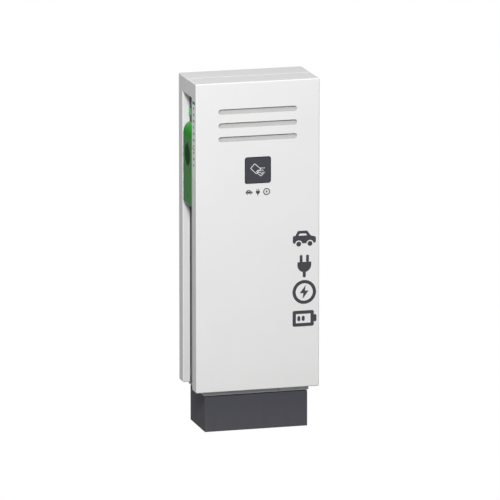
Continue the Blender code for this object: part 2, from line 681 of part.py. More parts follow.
# ---- equipment inside ----------------------------------------------------------------------------
def make_mounting_plate():
    plate = box("mounting_plate", (-PLATE_X, PLATE_X), (PLATE_Y[0], CABINET_BACK_Y), PLATE_Z, "zinc_steel")
    room = box("plate_room", (-PLATE_X + SHEET, PLATE_X - SHEET), (PLATE_Y[1], CABINET_BACK_Y + 0.01),
               (PLATE_Z[0] - 0.01, PLATE_Z[1] + 0.01))
    cut(plate, room)


def make_din_rail(name, z):
    """A top-hat rail: 35 mm high with its web on the plate and its lips 7.5 mm in front."""
    back = PLATE_Y[0] - GAP
    front = back - RAIL_DEPTH
    half, inner, sheet = 0.0175, 0.0125, 0.001
    rail = box(f"din_rail_{name}", (-RAIL_HALF, RAIL_HALF), (front, back), (z - half, z + half), "zinc_steel")
    channel = box(f"rail_channel_{name}", (-0.2, 0.2), (front - 0.01, back - sheet), (z - inner, z + inner))
    cut(rail, channel)
    for side in (-1, 1):
        low, high = sorted((z + side * (inner + sheet), z + side * 0.03))
        cut(rail, box(f"rail_lip_{name}_{side}", (-0.2, 0.2), (front + sheet, back + 0.01), (low, high)))


def make_device(name, centre_x, width, rail, material, depth=DEVICE_DEPTH, height=DEVICE_H):
    """A rail-mounted case with the usual stepped front: its middle stands out from its shoulders."""
    z = RAIL_Z[rail]
    x = (centre_x - width / 2, centre_x + width / 2)
    case = box(name, x, (DEVICE_BACK_Y - depth, DEVICE_BACK_Y), (z - height / 2, z + height / 2), material)
    for end in (-1, 1):
        shoulder = sorted((z + end * 0.023, z + end * 0.10))
        cut(case, box(f"{name}_shoulder_{end}", (x[0] - 0.01, x[1] + 0.01),
                      (DEVICE_BACK_Y - depth - 0.01, DEVICE_BACK_Y - depth + 0.014), shoulder))
    return case


def make_main_switch():
    make_device("main_switch", KNOB_X, 0.070, "lower", "light_plastic")
    front = DEVICE_BACK_Y - DEVICE_DEPTH - GAP
    knob = cylinder("main_switch_knob", (KNOB_X, front, LEVER_AXIS_Z), (0, -1, 0), 0.0170, 0.008, "red_plastic",
                    sides=32)
    grip = box("knob_grip", (KNOB_X - 0.0045, KNOB_X + 0.0045), (front - 0.020, front - 0.006),
               (LEVER_AXIS_Z - 0.0165, LEVER_AXIS_Z + 0.0165))
    join(knob, grip)


def make_breaker(side):
    """A residual-current breaker: a case with a window for the lever that tips about X."""
    centre = BREAKER_X[side]
    case = make_device(f"breaker_{side}", centre, 0.070, "lower", "light_plastic")
    front = DEVICE_BACK_Y - DEVICE_DEPTH
    window = box(f"breaker_window_{side}", (centre - 0.0165, centre + 0.0165), (front - 0.01, front + 0.016),
                 (LEVER_AXIS_Z - 0.0145, LEVER_AXIS_Z + 0.0145))
    cut(case, window)


def make_breaker_lever(side):
    """The lever's barrel turns in the case; up is on, and it tips down to switch off."""
    centre = BREAKER_X[side]
    axis_y = DEVICE_BACK_Y - DEVICE_DEPTH + 0.0090
    barrel = cylinder(f"breaker_lever_{side}", (centre - 0.0160, axis_y, LEVER_AXIS_Z), (1, 0, 0), 0.0065, 0.0320,
                      "black_plastic", sides=24)
    handle = box(f"lever_handle_{side}", (centre - 0.0150, centre + 0.0150), (axis_y - 0.0190, axis_y),
                 (LEVER_AXIS_Z - 0.0025, LEVER_AXIS_Z + 0.0025))
    tilt = Matrix.Rotation(math.radians(-32), 4, "X")
    pivot = Matrix.Translation((0, axis_y, LEVER_AXIS_Z))
    handle.matrix_world = pivot @ tilt @ pivot.inverted() @ handle.matrix_world
    join(barrel, handle)


def make_terminal_block():
    z = 0.320
    block = box("terminal_block", (-0.100, 0.100), (0.052, PLATE_Y[0] - GAP), (z - 0.024, z + 0.024), "light_plastic")
    for index in range(1, 8):
        x = -0.100 + index * 0.025
        cut(block, box(f"terminal_slot_{index}", (x - 0.0008, x + 0.0008), (0.04, 0.060), (0.28, 0.36)))


def make_earth_bar():
    z = 0.245
    bar = box("earth_bar", (-0.080, 0.080), (0.082, 0.088), (z - 0.006, z + 0.006), "brass")
    for index, x in enumerate((-0.065, 0.065)):
        foot = cylinder(f"bar_foot_{index}", (x, PLATE_Y[0] - GAP, z), (0, -1, 0), 0.0055, 0.012, sides=16)
        join(bar, foot)
    for index in range(6):
        x = -0.045 + index * 0.018
        cut(bar, cylinder(f"bar_hole_{index}", (x, 0.07, z), (0, 1, 0), 0.0028, 0.03, sides=12))


# ---- joints: an empty on each axis carries what turns or slides ----------------------------------
def hang(axis_name, location, names):
    """Parent pieces to an empty on their joint's axis, and leave them where they are."""
    axis = bpy.data.objects.new(axis_name, None)
    axis.location = location
    PARTS.objects.link(axis)
    bpy.context.view_layer.update()
    for name in names:
        piece = bpy.data.objects[name]
        piece.parent = axis
        piece.matrix_parent_inverse = axis.matrix_world.inverted()


def make_joints():
    leaves = [f"hinge_door_leaf_{index}" for index in range(len(HINGE_Z))]
    door = ["door_panel", "door_stiffener", "vent_baffle", "reader_badge", "card_reader", "lock_body"]
    hang("door_axis", (HINGE_X, HINGE_Y, 0), door + leaves)
    hang("lock_axis", (LOCK_X, CAM_Y[0], LOCK_Z), ["lock_cam"])
    bpy.data.objects["lock_axis"].parent = bpy.data.objects["door_axis"]
    bpy.data.objects["lock_axis"].matrix_parent_inverse = Matrix.Translation((-HINGE_X, -HINGE_Y, 0))
    front = DEVICE_BACK_Y - DEVICE_DEPTH
    hang("knob_axis", (KNOB_X, front, LEVER_AXIS_Z), ["main_switch_knob"])
    for side, sign in SIDES.items():
        hang(f"lid_axis_{side}", (sign * LID_AXIS_X, 0, LID_AXIS_Z), [f"lid_{side}"])
        hang(f"lock_pin_axis_{side}", (sign * LOCK_PIN_X, 0, SOCKET_Z), [f"lock_pin_{side}"])
        hang(f"lever_axis_{side}", (BREAKER_X[side], front + 0.009, LEVER_AXIS_Z), [f"breaker_lever_{side}"])


# ---- the post ------------------------------------------------------------------------------------
make_plinth()
make_base_frame()
make_rear_casing()
make_door_panel()
make_floor()
make_roof()
make_rim_and_gasket()
make_supply_gland()
make_stiffener()
make_vent_baffle()
make_reader_badge()
make_card_reader()
for number, hinge_z in enumerate(HINGE_Z):
    make_frame_leaf(number, hinge_z)
    make_door_leaf(number, hinge_z)
    make_hinge_pin(number, hinge_z)
make_lock()
make_lock_cam()
make_keeper()
make_mounting_plate()
for rail_name, rail_z in RAIL_Z.items():
    make_din_rail(rail_name, rail_z)
make_device("charge_controller", -0.095, 0.105, "upper", "light_plastic")
make_device("power_supply", -0.005, 0.054, "upper", "black_plastic")
make_device("contactor_left", -0.125, 0.045, "middle", "light_plastic", height=0.080)
make_device("contactor_right", 0.125, 0.045, "middle", "light_plastic", height=0.080)
make_device("energy_meter_left", -0.052, 0.072, "middle", "light_plastic")
make_device("energy_meter_right", 0.052, 0.072, "middle", "light_plastic")
make_main_switch()
make_terminal_block()
make_earth_bar()
for which in SIDES:
    make_side_wall(which)
    make_housing(which)
    make_cover_screw(which)
    make_lid(which)
    make_lid_pin(which)
    make_socket(which)
    make_contact_block(which)
    make_lock_actuator(which)
    make_lock_pin(which)
    make_status_light(which)
    make_breaker(which)
    make_breaker_lever(which)
make_joints()
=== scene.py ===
import math

import bmesh
import bpy
from mathutils import Matrix, Vector


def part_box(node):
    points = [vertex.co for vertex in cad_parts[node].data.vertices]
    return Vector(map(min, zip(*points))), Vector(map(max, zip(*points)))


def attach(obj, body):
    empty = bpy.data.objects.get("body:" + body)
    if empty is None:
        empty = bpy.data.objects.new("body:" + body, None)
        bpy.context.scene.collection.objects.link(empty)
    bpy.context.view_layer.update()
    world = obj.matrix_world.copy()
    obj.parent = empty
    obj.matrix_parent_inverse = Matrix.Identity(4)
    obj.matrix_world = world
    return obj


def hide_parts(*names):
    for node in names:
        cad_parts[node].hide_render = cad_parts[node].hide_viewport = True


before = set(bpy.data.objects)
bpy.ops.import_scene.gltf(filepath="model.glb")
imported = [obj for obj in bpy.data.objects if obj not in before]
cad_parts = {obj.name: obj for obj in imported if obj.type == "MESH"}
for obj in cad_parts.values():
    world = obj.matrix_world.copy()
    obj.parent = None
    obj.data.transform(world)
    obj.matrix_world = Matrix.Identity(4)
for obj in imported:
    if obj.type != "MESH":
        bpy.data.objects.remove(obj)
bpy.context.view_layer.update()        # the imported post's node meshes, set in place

scene = bpy.context.scene

# ---- camera ---------------------------------------------------------------------------------------
# A long lens from the front left and a little above, 26 m away, so the post's edges stay nearly parallel.
AIM = Vector((0.00378, 0.0, 0.66922))
BEARING = math.radians(-15.517)
HEIGHT_ANGLE = math.radians(12.361)
DISTANCE = 26.158

lens = bpy.data.cameras.new("camera")
lens.lens = 500.27
lens.sensor_width = 36.0
lens.clip_end = 200.0
camera = bpy.data.objects.new("camera", lens)
flat = math.cos(HEIGHT_ANGLE)
back = Vector((math.sin(BEARING) * flat, -math.cos(BEARING) * flat, math.sin(HEIGHT_ANGLE)))
camera.location = AIM + back * DISTANCE
camera.rotation_euler = (-back).to_track_quat("-Z", "Y").to_euler()
scene.collection.objects.link(camera)
scene.camera = camera


# ---- studio ---------------------------------------------------------------------------------------
# White floor and white surroundings, as in a catalogue studio. A large soft lamp at the front left is the
# key, a small one overhead draws the bends along the top, and a weak one lifts the left side.
def linear(code):
    """An sRGB hex colour as linear RGBA."""
    levels = [int(code[place:place + 2], 16) / 255 for place in (1, 3, 5)]
    return tuple(v / 12.92 if v <= 0.04045 else ((v + 0.055) / 1.055) ** 2.4 for v in levels) + (1.0,)


def add(tree, kind, settings=None, links=None):
    """Add a node; settings name its inputs or properties, links give the outputs that feed its inputs."""
    node = tree.nodes.new(kind)
    for key, value in (settings or {}).items():
        if isinstance(key, int) or key in node.inputs:
            node.inputs[key].default_value = value
        else:
            setattr(node, key, value)
    for key, source in (links or {}).items():
        tree.links.new(source, node.inputs[key])
    return node


def lamp(name, size, watts, place, colour="#FFFFFF"):
    """A square soft box that faces the middle of the post."""
    light = bpy.data.lights.new(name, "AREA")
    light.size = size
    light.energy = watts
    light.color = linear(colour)[:3]
    box = bpy.data.objects.new(name, light)
    box.location = place
    box.rotation_euler = (AIM - Vector(place)).to_track_quat("-Z", "Y").to_euler()
    scene.collection.objects.link(box)


# The surroundings are plain white in view. They light matt surfaces and show in glossy ones more weakly.
FILL = 0.425
SHEEN = 0.36
world = bpy.data.worlds.new("studio_air")
world.use_nodes = True
scene.world = world
air = world.node_tree
air.nodes.clear()
seen_air = add(air, "ShaderNodeBackground", {"Color": linear("#FFFFFF"), "Strength": 1.0})
fill_air = add(air, "ShaderNodeBackground", {"Color": linear("#FDFDFE"), "Strength": FILL})
sheen_air = add(air, "ShaderNodeBackground", {"Color": linear("#FDFDFE"), "Strength": SHEEN})
air_rays = add(air, "ShaderNodeLightPath")
lit_air = add(air, "ShaderNodeMixShader", None, {
    0: air_rays.outputs["Is Glossy Ray"], 1: fill_air.outputs[0], 2: sheen_air.outputs[0]})
air_mix = add(air, "ShaderNodeMixShader", None, {
    0: air_rays.outputs["Is Camera Ray"], 1: lit_air.outputs[0], 2: seen_air.outputs[0]})
add(air, "ShaderNodeOutputWorld", None, {"Surface": air_mix.outputs[0]})

KEY_BEARING = math.radians(-22)
KEY_HEIGHT = math.radians(38)
KEY_DISTANCE = 9.0
key_flat = math.cos(KEY_HEIGHT)
key_place = AIM + KEY_DISTANCE * Vector((math.sin(KEY_BEARING) * key_flat, -math.cos(KEY_BEARING) * key_flat,
                                         math.sin(KEY_HEIGHT)))
lamp("key_lamp", 1.6, 711.0, key_place, "#FFFEFD")
EDGE_PLACE = AIM + Vector((1.3, -1.3, 4.7))
SIDE_PLACE = (-1.6, -0.9, 2.4)
lamp("edge_lamp", 0.35, 13.0, EDGE_PLACE)
lamp("side_lamp", 0.4, 4.5, SIDE_PLACE)

# The floor is plain white in view too, and bounces light as a mid grey one would.
FLOOR_TONE = "#7E7E7E"
floor_paint = bpy.data.materials.new("studio_floor_paint")
floor_paint.use_nodes = True
floor_tree = floor_paint.node_tree
floor_tree.nodes.clear()
floor_rays = add(floor_tree, "ShaderNodeLightPath")
floor_glow = add(floor_tree, "ShaderNodeEmission", {"Color": linear("#FFFFFF"), "Strength": 1.0})
floor_matt = add(floor_tree, "ShaderNodeBsdfDiffuse", {"Color": linear(FLOOR_TONE)})
floor_mix = add(floor_tree, "ShaderNodeMixShader", None, {
    0: floor_rays.outputs["Is Camera Ray"], 1: floor_matt.outputs[0], 2: floor_glow.outputs[0]})
add(floor_tree, "ShaderNodeOutputMaterial", None, {"Surface": floor_mix.outputs[0]})

FLOOR_HALF = 60.0
FLOOR_Z = -0.0005
floor_mesh = bpy.data.meshes.new("studio_floor")
floor_corners = [(-FLOOR_HALF, -FLOOR_HALF), (FLOOR_HALF, -FLOOR_HALF), (FLOOR_HALF, FLOOR_HALF),
                 (-FLOOR_HALF, FLOOR_HALF)]
floor_mesh.from_pydata([(x, y, FLOOR_Z) for x, y in floor_corners], [], [(0, 1, 2, 3)])
floor_mesh.materials.append(floor_paint)
studio_floor = bpy.data.objects.new("studio_floor", floor_mesh)
scene.collection.objects.link(studio_floor)

scene.view_settings.view_transform = "Standard"
scene.view_settings.look = "None"


# ---- casing shells --------------------------------------------------------------------------------
# Two trays folded from 2 mm aluminium sheet and powder coated white; the front one is the door.
# The bends have a 4 mm radius, and the shells meet in a narrow seam across the top.
SHEET = 0.002
BEND = 0.0042
SEAM_BEND = 0.0022
SEAM_CLOSER = 0.0004
RETURN_GAP = 0.0015
LINTEL_Z = 1.277
FLANGE_Y = {-1: -0.063, 1: 0.068}
SLOT_Z = (1.1245, 1.1769, 1.2293)
SLOT_LENGTH = 0.304
SLOT_HEIGHT = 0.020
BADGE_Z = 1.0013
BADGE_EDGE = 0.0505
BADGE_CORNER = 0.010
BADGE_PLAY = 0.0006


def coating(name, pale, deep, dust, grain=0.0012, rough=(0.34, 0.46), relief=0.5, dust_height=0.30):
    """Polyester powder coat: fine orange peel, faint clouds of tone, and road dust that thins upwards.

    grain is the width of a bump of the orange peel. The real one is about half of that, too fine to show.
    """
    material = bpy.data.materials.new(name)
    material.use_nodes = True
    tree = material.node_tree
    shader = tree.nodes["Principled BSDF"]
    shader.inputs["IOR"].default_value = 1.5
    place = add(tree, "ShaderNodeTexCoord").outputs["Object"]
    clouds = add(tree, "ShaderNodeTexNoise", {"Scale": 5.0, "Detail": 3.0, "Roughness": 0.55},
                 {"Vector": place})
    tone = add(tree, "ShaderNodeMix", {"data_type": "RGBA", 6: linear(pale), 7: linear(deep)},
               {0: clouds.outputs["Fac"]})
    runs = add(tree, "ShaderNodeMapping", {"Scale": (38.0, 38.0, 1.6)}, {"Vector": place})
    streaks = add(tree, "ShaderNodeTexNoise", {"Scale": 1.0, "Detail": 4.0, "Roughness": 0.6},
                  {"Vector": runs.outputs["Vector"]})
    axes = add(tree, "ShaderNodeSeparateXYZ", None, {"Vector": place})
    low = add(tree, "ShaderNodeMapRange",
              {"From Min": 0.0, "From Max": dust_height, "To Min": 0.20, "To Max": 0.0},
              {"Value": axes.outputs["Z"]})
    amount = add(tree, "ShaderNodeMath", {"operation": "MULTIPLY"},
                 {0: low.outputs["Result"], 1: streaks.outputs["Fac"]})
    dirty = add(tree, "ShaderNodeMix", {"data_type": "RGBA", 7: linear(dust)},
                {0: amount.outputs["Value"], 6: tone.outputs[2]})
    tree.links.new(dirty.outputs[2], shader.inputs["Base Color"])
    gloss = add(tree, "ShaderNodeMapRange", {"To Min": rough[0], "To Max": rough[1]},
                {"Value": streaks.outputs["Fac"]})
    tree.links.new(gloss.outputs["Result"], shader.inputs["Roughness"])
    peel = add(tree, "ShaderNodeTexNoise", {"Scale": 1.0 / grain, "Detail": 2.0, "Roughness": 0.5},
               {"Vector": place})
    bump = add(tree, "ShaderNodeBump", {"Strength": relief, "Distance": 0.00006},
               {"Height": peel.outputs["Fac"]})
    tree.links.new(bump.outputs["Normal"], shader.inputs["Normal"])
    return material


def block(bm, x, y, z, radius=0.0, segments=4, chosen=None):
    """A box between two limits on each axis; chosen picks the edges that are rounded."""
    made = bmesh.ops.create_cube(bm, size=1.0)["verts"]
    low = Vector((min(x), min(y), min(z)))
    high = Vector((max(x), max(y), max(z)))
    for vert in made:
        vert.co = Vector(low[axis] if vert.co[axis] < 0 else high[axis] for axis in range(3))
    if radius:
        edges = {edge for vert in made for edge in vert.link_edges if chosen is None or chosen(edge)}
        bmesh.ops.bevel(bm, geom=list(edges), offset=radius, offset_type="OFFSET", segments=segments,
                        profile=0.5, affect="EDGES", clamp_overlap=True)


def new_object(name, bm):
    """An object with this bmesh's faces, normals outwards."""
    bmesh.ops.recalc_face_normals(bm, faces=bm.faces)
    mesh = bpy.data.meshes.new(name)
    bm.to_mesh(mesh)
    bm.free()
    obj = bpy.data.objects.new(name, mesh)
    scene.collection.objects.link(obj)
    return obj


def block_object(name, x, y, z, radius=0.0, segments=4):
    bm = bmesh.new()
    block(bm, x, y, z, radius, segments)
    return new_object(name, bm)


def settled_mesh(obj):
    """Make what an object's modifiers show its own mesh, and drop the modifiers."""
    bpy.context.view_layer.update()
    shown = obj.evaluated_get(bpy.context.evaluated_depsgraph_get())
    mesh = bpy.data.meshes.new_from_object(shown)
    obj.modifiers.clear()
    obj.data = mesh


def combine(obj, others, operation="DIFFERENCE"):
    """Cut other objects from a piece, or join them to it, and remove them."""
    for other in others:
        boolean = obj.modifiers.new("boolean", "BOOLEAN")
        boolean.operation = operation
        boolean.solver = "EXACT"
        boolean.object = other
    settled_mesh(obj)
    for other in others:
        bpy.data.objects.remove(other, do_unlink=True)
    return obj


def finish_piece(obj, material, body, slot, *nodes, smooth=35.0, weighted=True):
    """Shade a piece, give it its material, hang it on its body, and hide the nodes that it stands for."""
    mesh = obj.data
    mesh.transform(obj.matrix_world)
    obj.matrix_world = Matrix()
    mesh.shade_smooth()
    mesh.set_sharp_from_angle(angle=math.radians(smooth))
    if weighted:
        normals = obj.modifiers.new("face_weighted", "WEIGHTED_NORMAL")
        normals.keep_sharp = True
        settled_mesh(obj)
    obj.data.materials.clear()
    obj.data.materials.append(material)
    obj.data.name = obj.name
    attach(obj, body)
    if nodes:
        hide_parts(*nodes)
    return obj


def arc(centre, radii, start, end, steps):
    """Points on an arc between two angles in degrees, as (across, up) pairs."""
    turns = [math.radians(start + (end - start) * step / steps) for step in range(steps + 1)]
    return [(centre[0] + radii[0] * math.cos(turn), centre[1] + radii[1] * math.sin(turn)) for turn in turns]


def rounded_outline(across, up, radius, steps=8):
    """A rectangle with round corners, anticlockwise."""
    left, right = across[0] + radius, across[1] - radius
    low, high = up[0] + radius, up[1] - radius
    points = arc((right, high), (radius, radius), 0, 90, steps)
    points += arc((left, high), (radius, radius), 90, 180, steps)
    points += arc((left, low), (radius, radius), 180, 270, steps)
    return points + arc((right, low), (radius, radius), 270, 360, steps)


def prism(bm, outline, axis, low, high):
    """An outline extruded along an axis; its points are the two other coordinates in X, Y, Z order."""
    def corner(point, depth):
        values = list(point)
        values.insert("XYZ".index(axis), depth)
        return bm.verts.new(values)
    near = [corner(point, low) for point in outline]
    far = [corner(point, high) for point in outline]
    bm.faces.new(near)
    bm.faces.new(list(reversed(far)))
    count = len(outline)
    for index in range(count):
        following = (index + 1) % count
        bm.faces.new((near[index], far[index], far[following], near[following]))
    return near, far


def prism_object(name, outline, axis, low, high):
    bm = bmesh.new()
    prism(bm, outline, axis, low, high)
    return new_object(name, bm)


def lathe(bm, profile, origin, axis, steps=48):
    """Turn a profile of (radius, height) points about an axis through origin."""
    turn = Vector((0, 0, 1)).rotation_difference(Vector(axis))
    rings = []
    for radius, height in profile:
        if radius == 0:
            rings.append([bm.verts.new(Vector(origin) + turn @ Vector((0, 0, height)))])
            continue
        angles = [2 * math.pi * step / steps for step in range(steps)]
        rings.append([bm.verts.new(Vector(origin) + turn @ Vector((radius * math.cos(angle),
                                                                  radius * math.sin(angle), height)))
                      for angle in angles])
    for first, second in zip(rings, rings[1:]):
        for step in range(steps):
            nxt = (step + 1) % steps
            if len(first) == 1:
                bm.faces.new((first[0], second[step], second[nxt]))
            elif len(second) == 1:
                bm.faces.new((first[step], first[nxt], second[0]))
            else:
                bm.faces.new((first[step], first[nxt], second[nxt], second[step]))


def rod(bm, start, axis, radius, length, steps=32):
    lathe(bm, [(0, 0), (radius, 0), (radius, length), (0, length)], start, axis, steps)


def rod_object(name, start, axis, radius, length, steps=32):
    bm = bmesh.new()
    rod(bm, start, axis, radius, length, steps)
    return new_object(name, bm)


def folded_shell(name, node, facing):
    """One casing half: a tray with returns and a lintel over the recesses. facing is -1 in front."""
    low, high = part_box(node)
    face = low.y if facing < 0 else high.y
    seam = high.y if facing < 0 else low.y - SEAM_CLOSER
    wall_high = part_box("side_wall_right")[1]
    return_x = wall_high.x + RETURN_GAP
    flange = FLANGE_Y[facing]
    beyond = seam - facing * 0.02

    def away_from_seam(edge):
        return not all(abs(vert.co.y - seam) < 1e-5 for vert in edge.verts)

    def on_top_seam(edge):
        return all(abs(vert.co.y - seam) < 1e-5 and vert.co.z > high.z - BEND - 1e-5 for vert in edge.verts)

    shell = block_object(name, (low.x, high.x), (face, flange), (low.z, high.z), BEND, 6)
    bm = bmesh.new()
    block(bm, (low.x, high.x), (face, seam), (LINTEL_Z, high.z), BEND, 6, away_from_seam)
    seam_edges = [edge for edge in bm.edges if on_top_seam(edge)]
    bmesh.ops.bevel(bm, geom=seam_edges, offset=SEAM_BEND, offset_type="OFFSET", segments=4, profile=0.5,
                    affect="EDGES", clamp_overlap=True)
    combine(shell, [new_object(f"{name}_lintel", bm)], "UNION")
    inner_x = high.x - SHEET
    inside = face - facing * SHEET
    tray = block_object("tray", (-inner_x, inner_x), (inside, flange + facing * SHEET),
                        (low.z + SHEET, high.z - SHEET), BEND - SHEET, 3)
    lintel = block_object("lintel", (-inner_x, inner_x), (inside, beyond), (LINTEL_Z + SHEET, high.z - SHEET),
                          BEND - SHEET, 3)
    mouth = block_object("mouth", (-return_x, return_x), (inside - facing * 0.001, beyond),
                         (low.z + SHEET, LINTEL_Z + 0.02))
    return combine(shell, [tray, lintel, mouth])


# Satin white powder coat under a clear one: even and bright, with crisper light along the bends.
white_coat = coating("white_powder_coat", "#EAEAEA", "#E4E4E5", "#B9B4A8", rough=(0.26, 0.36),
                     dust_height=0.34)
white_shader = white_coat.node_tree.nodes["Principled BSDF"]
white_shader.inputs["Coat Weight"].default_value = 0.35
white_shader.inputs["Coat Roughness"].default_value = 0.22

rear_shell = folded_shell("rear_shell", "rear_casing", 1)
finish_piece(rear_shell, white_coat, "post", "white_paint", "rear_casing", smooth=25)

door_shell = folded_shell("door_shell", "door_panel", -1)
door_low, door_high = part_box("door_panel")
front_y = door_low.y
openings = []
through = (front_y - 0.01, front_y + 0.01)
half_slot = SLOT_HEIGHT / 2
for index, slot_z in enumerate(SLOT_Z):
    outline = rounded_outline((-SLOT_LENGTH / 2, SLOT_LENGTH / 2), (slot_z - half_slot, slot_z + half_slot),
                              half_slot * 0.999, 12)
    openings.append(prism_object(f"slot_{index}", outline, "Y", *through))
hole_edge = BADGE_EDGE + BADGE_PLAY
badge_hole = rounded_outline((-hole_edge, hole_edge), (BADGE_Z - hole_edge, BADGE_Z + hole_edge),
                             BADGE_CORNER)
openings.append(prism_object("badge_hole", badge_hole, "Y", *through))
return_y = (FLANGE_Y[-1] - 0.004, FLANGE_Y[-1] + 0.004)
HINGE_NOTCH_X = (0.2075, 0.2377)
KEEPER_NOTCH_X = (-0.2222, -0.2075)
LOCK_HOLE_R = 0.0058
for index in (0, 1):
    leaf_low, leaf_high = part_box(f"hinge_frame_leaf_{index}")
    openings.append(block_object(f"hinge_notch_{index}", HINGE_NOTCH_X, return_y,
                                 (leaf_low.z - 0.003, leaf_high.z + 0.003)))
keeper_low, keeper_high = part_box("lock_keeper")
openings.append(block_object("keeper_notch", KEEPER_NOTCH_X, return_y,
                             (keeper_low.z - 0.004, keeper_high.z + 0.004)))
lock_low, lock_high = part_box("lock_body")
lock_centre = (lock_low + lock_high) / 2
lock_start = (lock_centre.x, return_y[0], lock_centre.z)
openings.append(rod_object("lock_hole", lock_start, (0, 1, 0), LOCK_HOLE_R, 0.01))
combine(door_shell, openings)
finish_piece(door_shell, white_coat, "door", "white_paint", "door_panel", smooth=25)


# ---- plinth and base frame ------------------------------------------------------------------------
# A welded steel plinth in slate texture coat, and the grey frame strip that the cabinet stands on.
# Coarser texture coat: a dry, soft slate that takes almost no reflections.
slate_coat = coating("slate_texture_coat", "#4A4A53", "#46464E", "#77736C", grain=0.0016, rough=(0.42, 0.55),
                     relief=0.9, dust_height=0.10)
# Satin light grey coat, like the white one but with no clear coat over it.
grey_coat = coating("light_grey_powder_coat", "#CFD0D2", "#C9CACD", "#9E998E", dust_height=0.16)


def fine_copy(node, material, body, slot, edge=0.0006, segments=2, smooth=35.0):
    """A CAD node's own shape with its triangles merged, its edges eased and its round faces smooth."""
    bm = bmesh.new()
    bm.from_mesh(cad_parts[node].data)
    bmesh.ops.remove_doubles(bm, verts=bm.verts, dist=0.000005)
    bmesh.ops.dissolve_limit(bm, angle_limit=math.radians(0.5), verts=bm.verts, edges=bm.edges)
    mesh = bpy.data.meshes.new(f"{node}_fine")
    bm.to_mesh(mesh)
    bm.free()
    piece = bpy.data.objects.new(f"{node}_fine", mesh)
    scene.collection.objects.link(piece)
    if edge:
        easing = piece.modifiers.new("eased_edges", "BEVEL")
        easing.width = edge
        easing.segments = segments
        easing.limit_method = "ANGLE"
        easing.angle_limit = math.radians(40)
        easing.use_clamp_overlap = True
        settled_mesh(piece)
    return finish_piece(piece, material, body, slot, node, smooth=smooth)


fine_copy("plinth", slate_coat, "post", "slate_paint", edge=0)
fine_copy("base_frame", grey_coat, "post", "grey_paint", edge=0)
for side in ("left", "right"):
    fine_copy(f"side_wall_{side}", slate_coat, "post", "slate_paint", edge=0)


# ---- rain channel ---------------------------------------------------------------------------------
# A flat strip of the casing's aluminium under the joint of the two shells. It is fixed to the rear
# shell, closes the seam from below and leads rain to the side.
CHANNEL_X = (-0.2350, 0.2240)
CHANNEL_Y = (-0.0015, 0.012)
CHANNEL_Z = (1.3340, 1.3365)
rain_channel = block_object("rain_channel", CHANNEL_X, CHANNEL_Y, CHANNEL_Z, 0.0004, 2)
finish_piece(rain_channel, white_coat, "post", "white_paint")


# ---- vent baffle ----------------------------------------------------------------------------------
# A shallow channel moulded in light grey ASA behind the slots, glued to the back of the door's face.
def moulded(name, pale, deep, rough=(0.36, 0.50), grain=0.0009, relief=0.35, ior=1.53):
    """Injection-moulded plastic: spark-eroded grain, faint flow clouds, and gloss where it is rubbed."""
    material = bpy.data.materials.new(name)
    material.use_nodes = True
    tree = material.node_tree
    shader = tree.nodes["Principled BSDF"]
    shader.inputs["IOR"].default_value = ior
    place = add(tree, "ShaderNodeTexCoord").outputs["Object"]
    flow = add(tree, "ShaderNodeTexNoise", {"Scale": 22.0, "Detail": 3.0, "Distortion": 0.8},
               {"Vector": place})
    tone = add(tree, "ShaderNodeMix", {"data_type": "RGBA", 6: linear(pale), 7: linear(deep)},
               {0: flow.outputs["Fac"]})
    tree.links.new(tone.outputs[2], shader.inputs["Base Color"])
    rubbed = add(tree, "ShaderNodeTexNoise", {"Scale": 75.0, "Detail": 4.0, "Roughness": 0.6},
                 {"Vector": place})
    gloss = add(tree, "ShaderNodeMapRange", {"To Min": rough[0], "To Max": rough[1]},
                {"Value": rubbed.outputs["Fac"]})
    tree.links.new(gloss.outputs["Result"], shader.inputs["Roughness"])
    spark = add(tree, "ShaderNodeTexVoronoi", {"Scale": 1.0 / grain}, {"Vector": place})
    bump = add(tree, "ShaderNodeBump", {"Strength": relief, "Distance": 0.00005},
               {"Height": spark.outputs["Distance"]})
    tree.links.new(bump.outputs["Normal"], shader.inputs["Normal"])
    return material


# Light grey ASA: pale and even, and darker than the door because it lies in the slots' shade.
light_asa = moulded("light_grey_asa", "#C8C8C7", "#BEBEBD")
fine_copy("vent_baffle", light_asa, "door", "light_plastic", edge=0.0004)


# ---- reader badge ---------------------------------------------------------------------------------
# The card reader's window: a slate polycarbonate plate with a raised rim, snapped into the door's face.
# It carries a printed card-and-hand sign in white.
BADGE_RIM = 0.0030
RIM_STEP = 0.0004
CLEAR = 0.00001
# Polycarbonate moulded in a finely eroded tool: dark and smooth, with a soft shine.
badge_slate = moulded("slate_polycarbonate", "#42434B", "#3E3F47", rough=(0.30, 0.42), grain=0.0011,
                      relief=0.25, ior=1.58)
badge_dark = moulded("dark_polycarbonate_rim", "#2B2B31", "#27272C", rough=(0.26, 0.36), relief=0.2, ior=1.58)
badge_low, badge_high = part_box("reader_badge")
plate_outline = rounded_outline((badge_low.x + BADGE_RIM, badge_high.x - BADGE_RIM),
                                (badge_low.z + BADGE_RIM, badge_high.z - BADGE_RIM), BADGE_CORNER - BADGE_RIM)
rim_outline = rounded_outline((badge_low.x, badge_high.x), (badge_low.z, badge_high.z), BADGE_CORNER)
rim = prism_object("badge_rim", rim_outline, "Y", badge_low.y, badge_high.y)
combine(rim, [prism_object("rim_hole", plate_outline, "Y", badge_low.y - 0.01, badge_high.y + 0.01)])
rounding = rim.modifiers.new("eased_edges", "BEVEL")
rounding.width = 0.0006
rounding.segments = 3
rounding.limit_method = "ANGLE"
rounding.angle_limit = math.radians(50)
settled_mesh(rim)
finish_piece(rim, badge_dark, "door", "badge_plastic", "reader_badge")
plate = prism_object("badge_plate", plate_outline, "Y", badge_low.y + RIM_STEP, badge_high.y - RIM_STEP)
finish_piece(plate, badge_slate, "door", "badge_plastic")


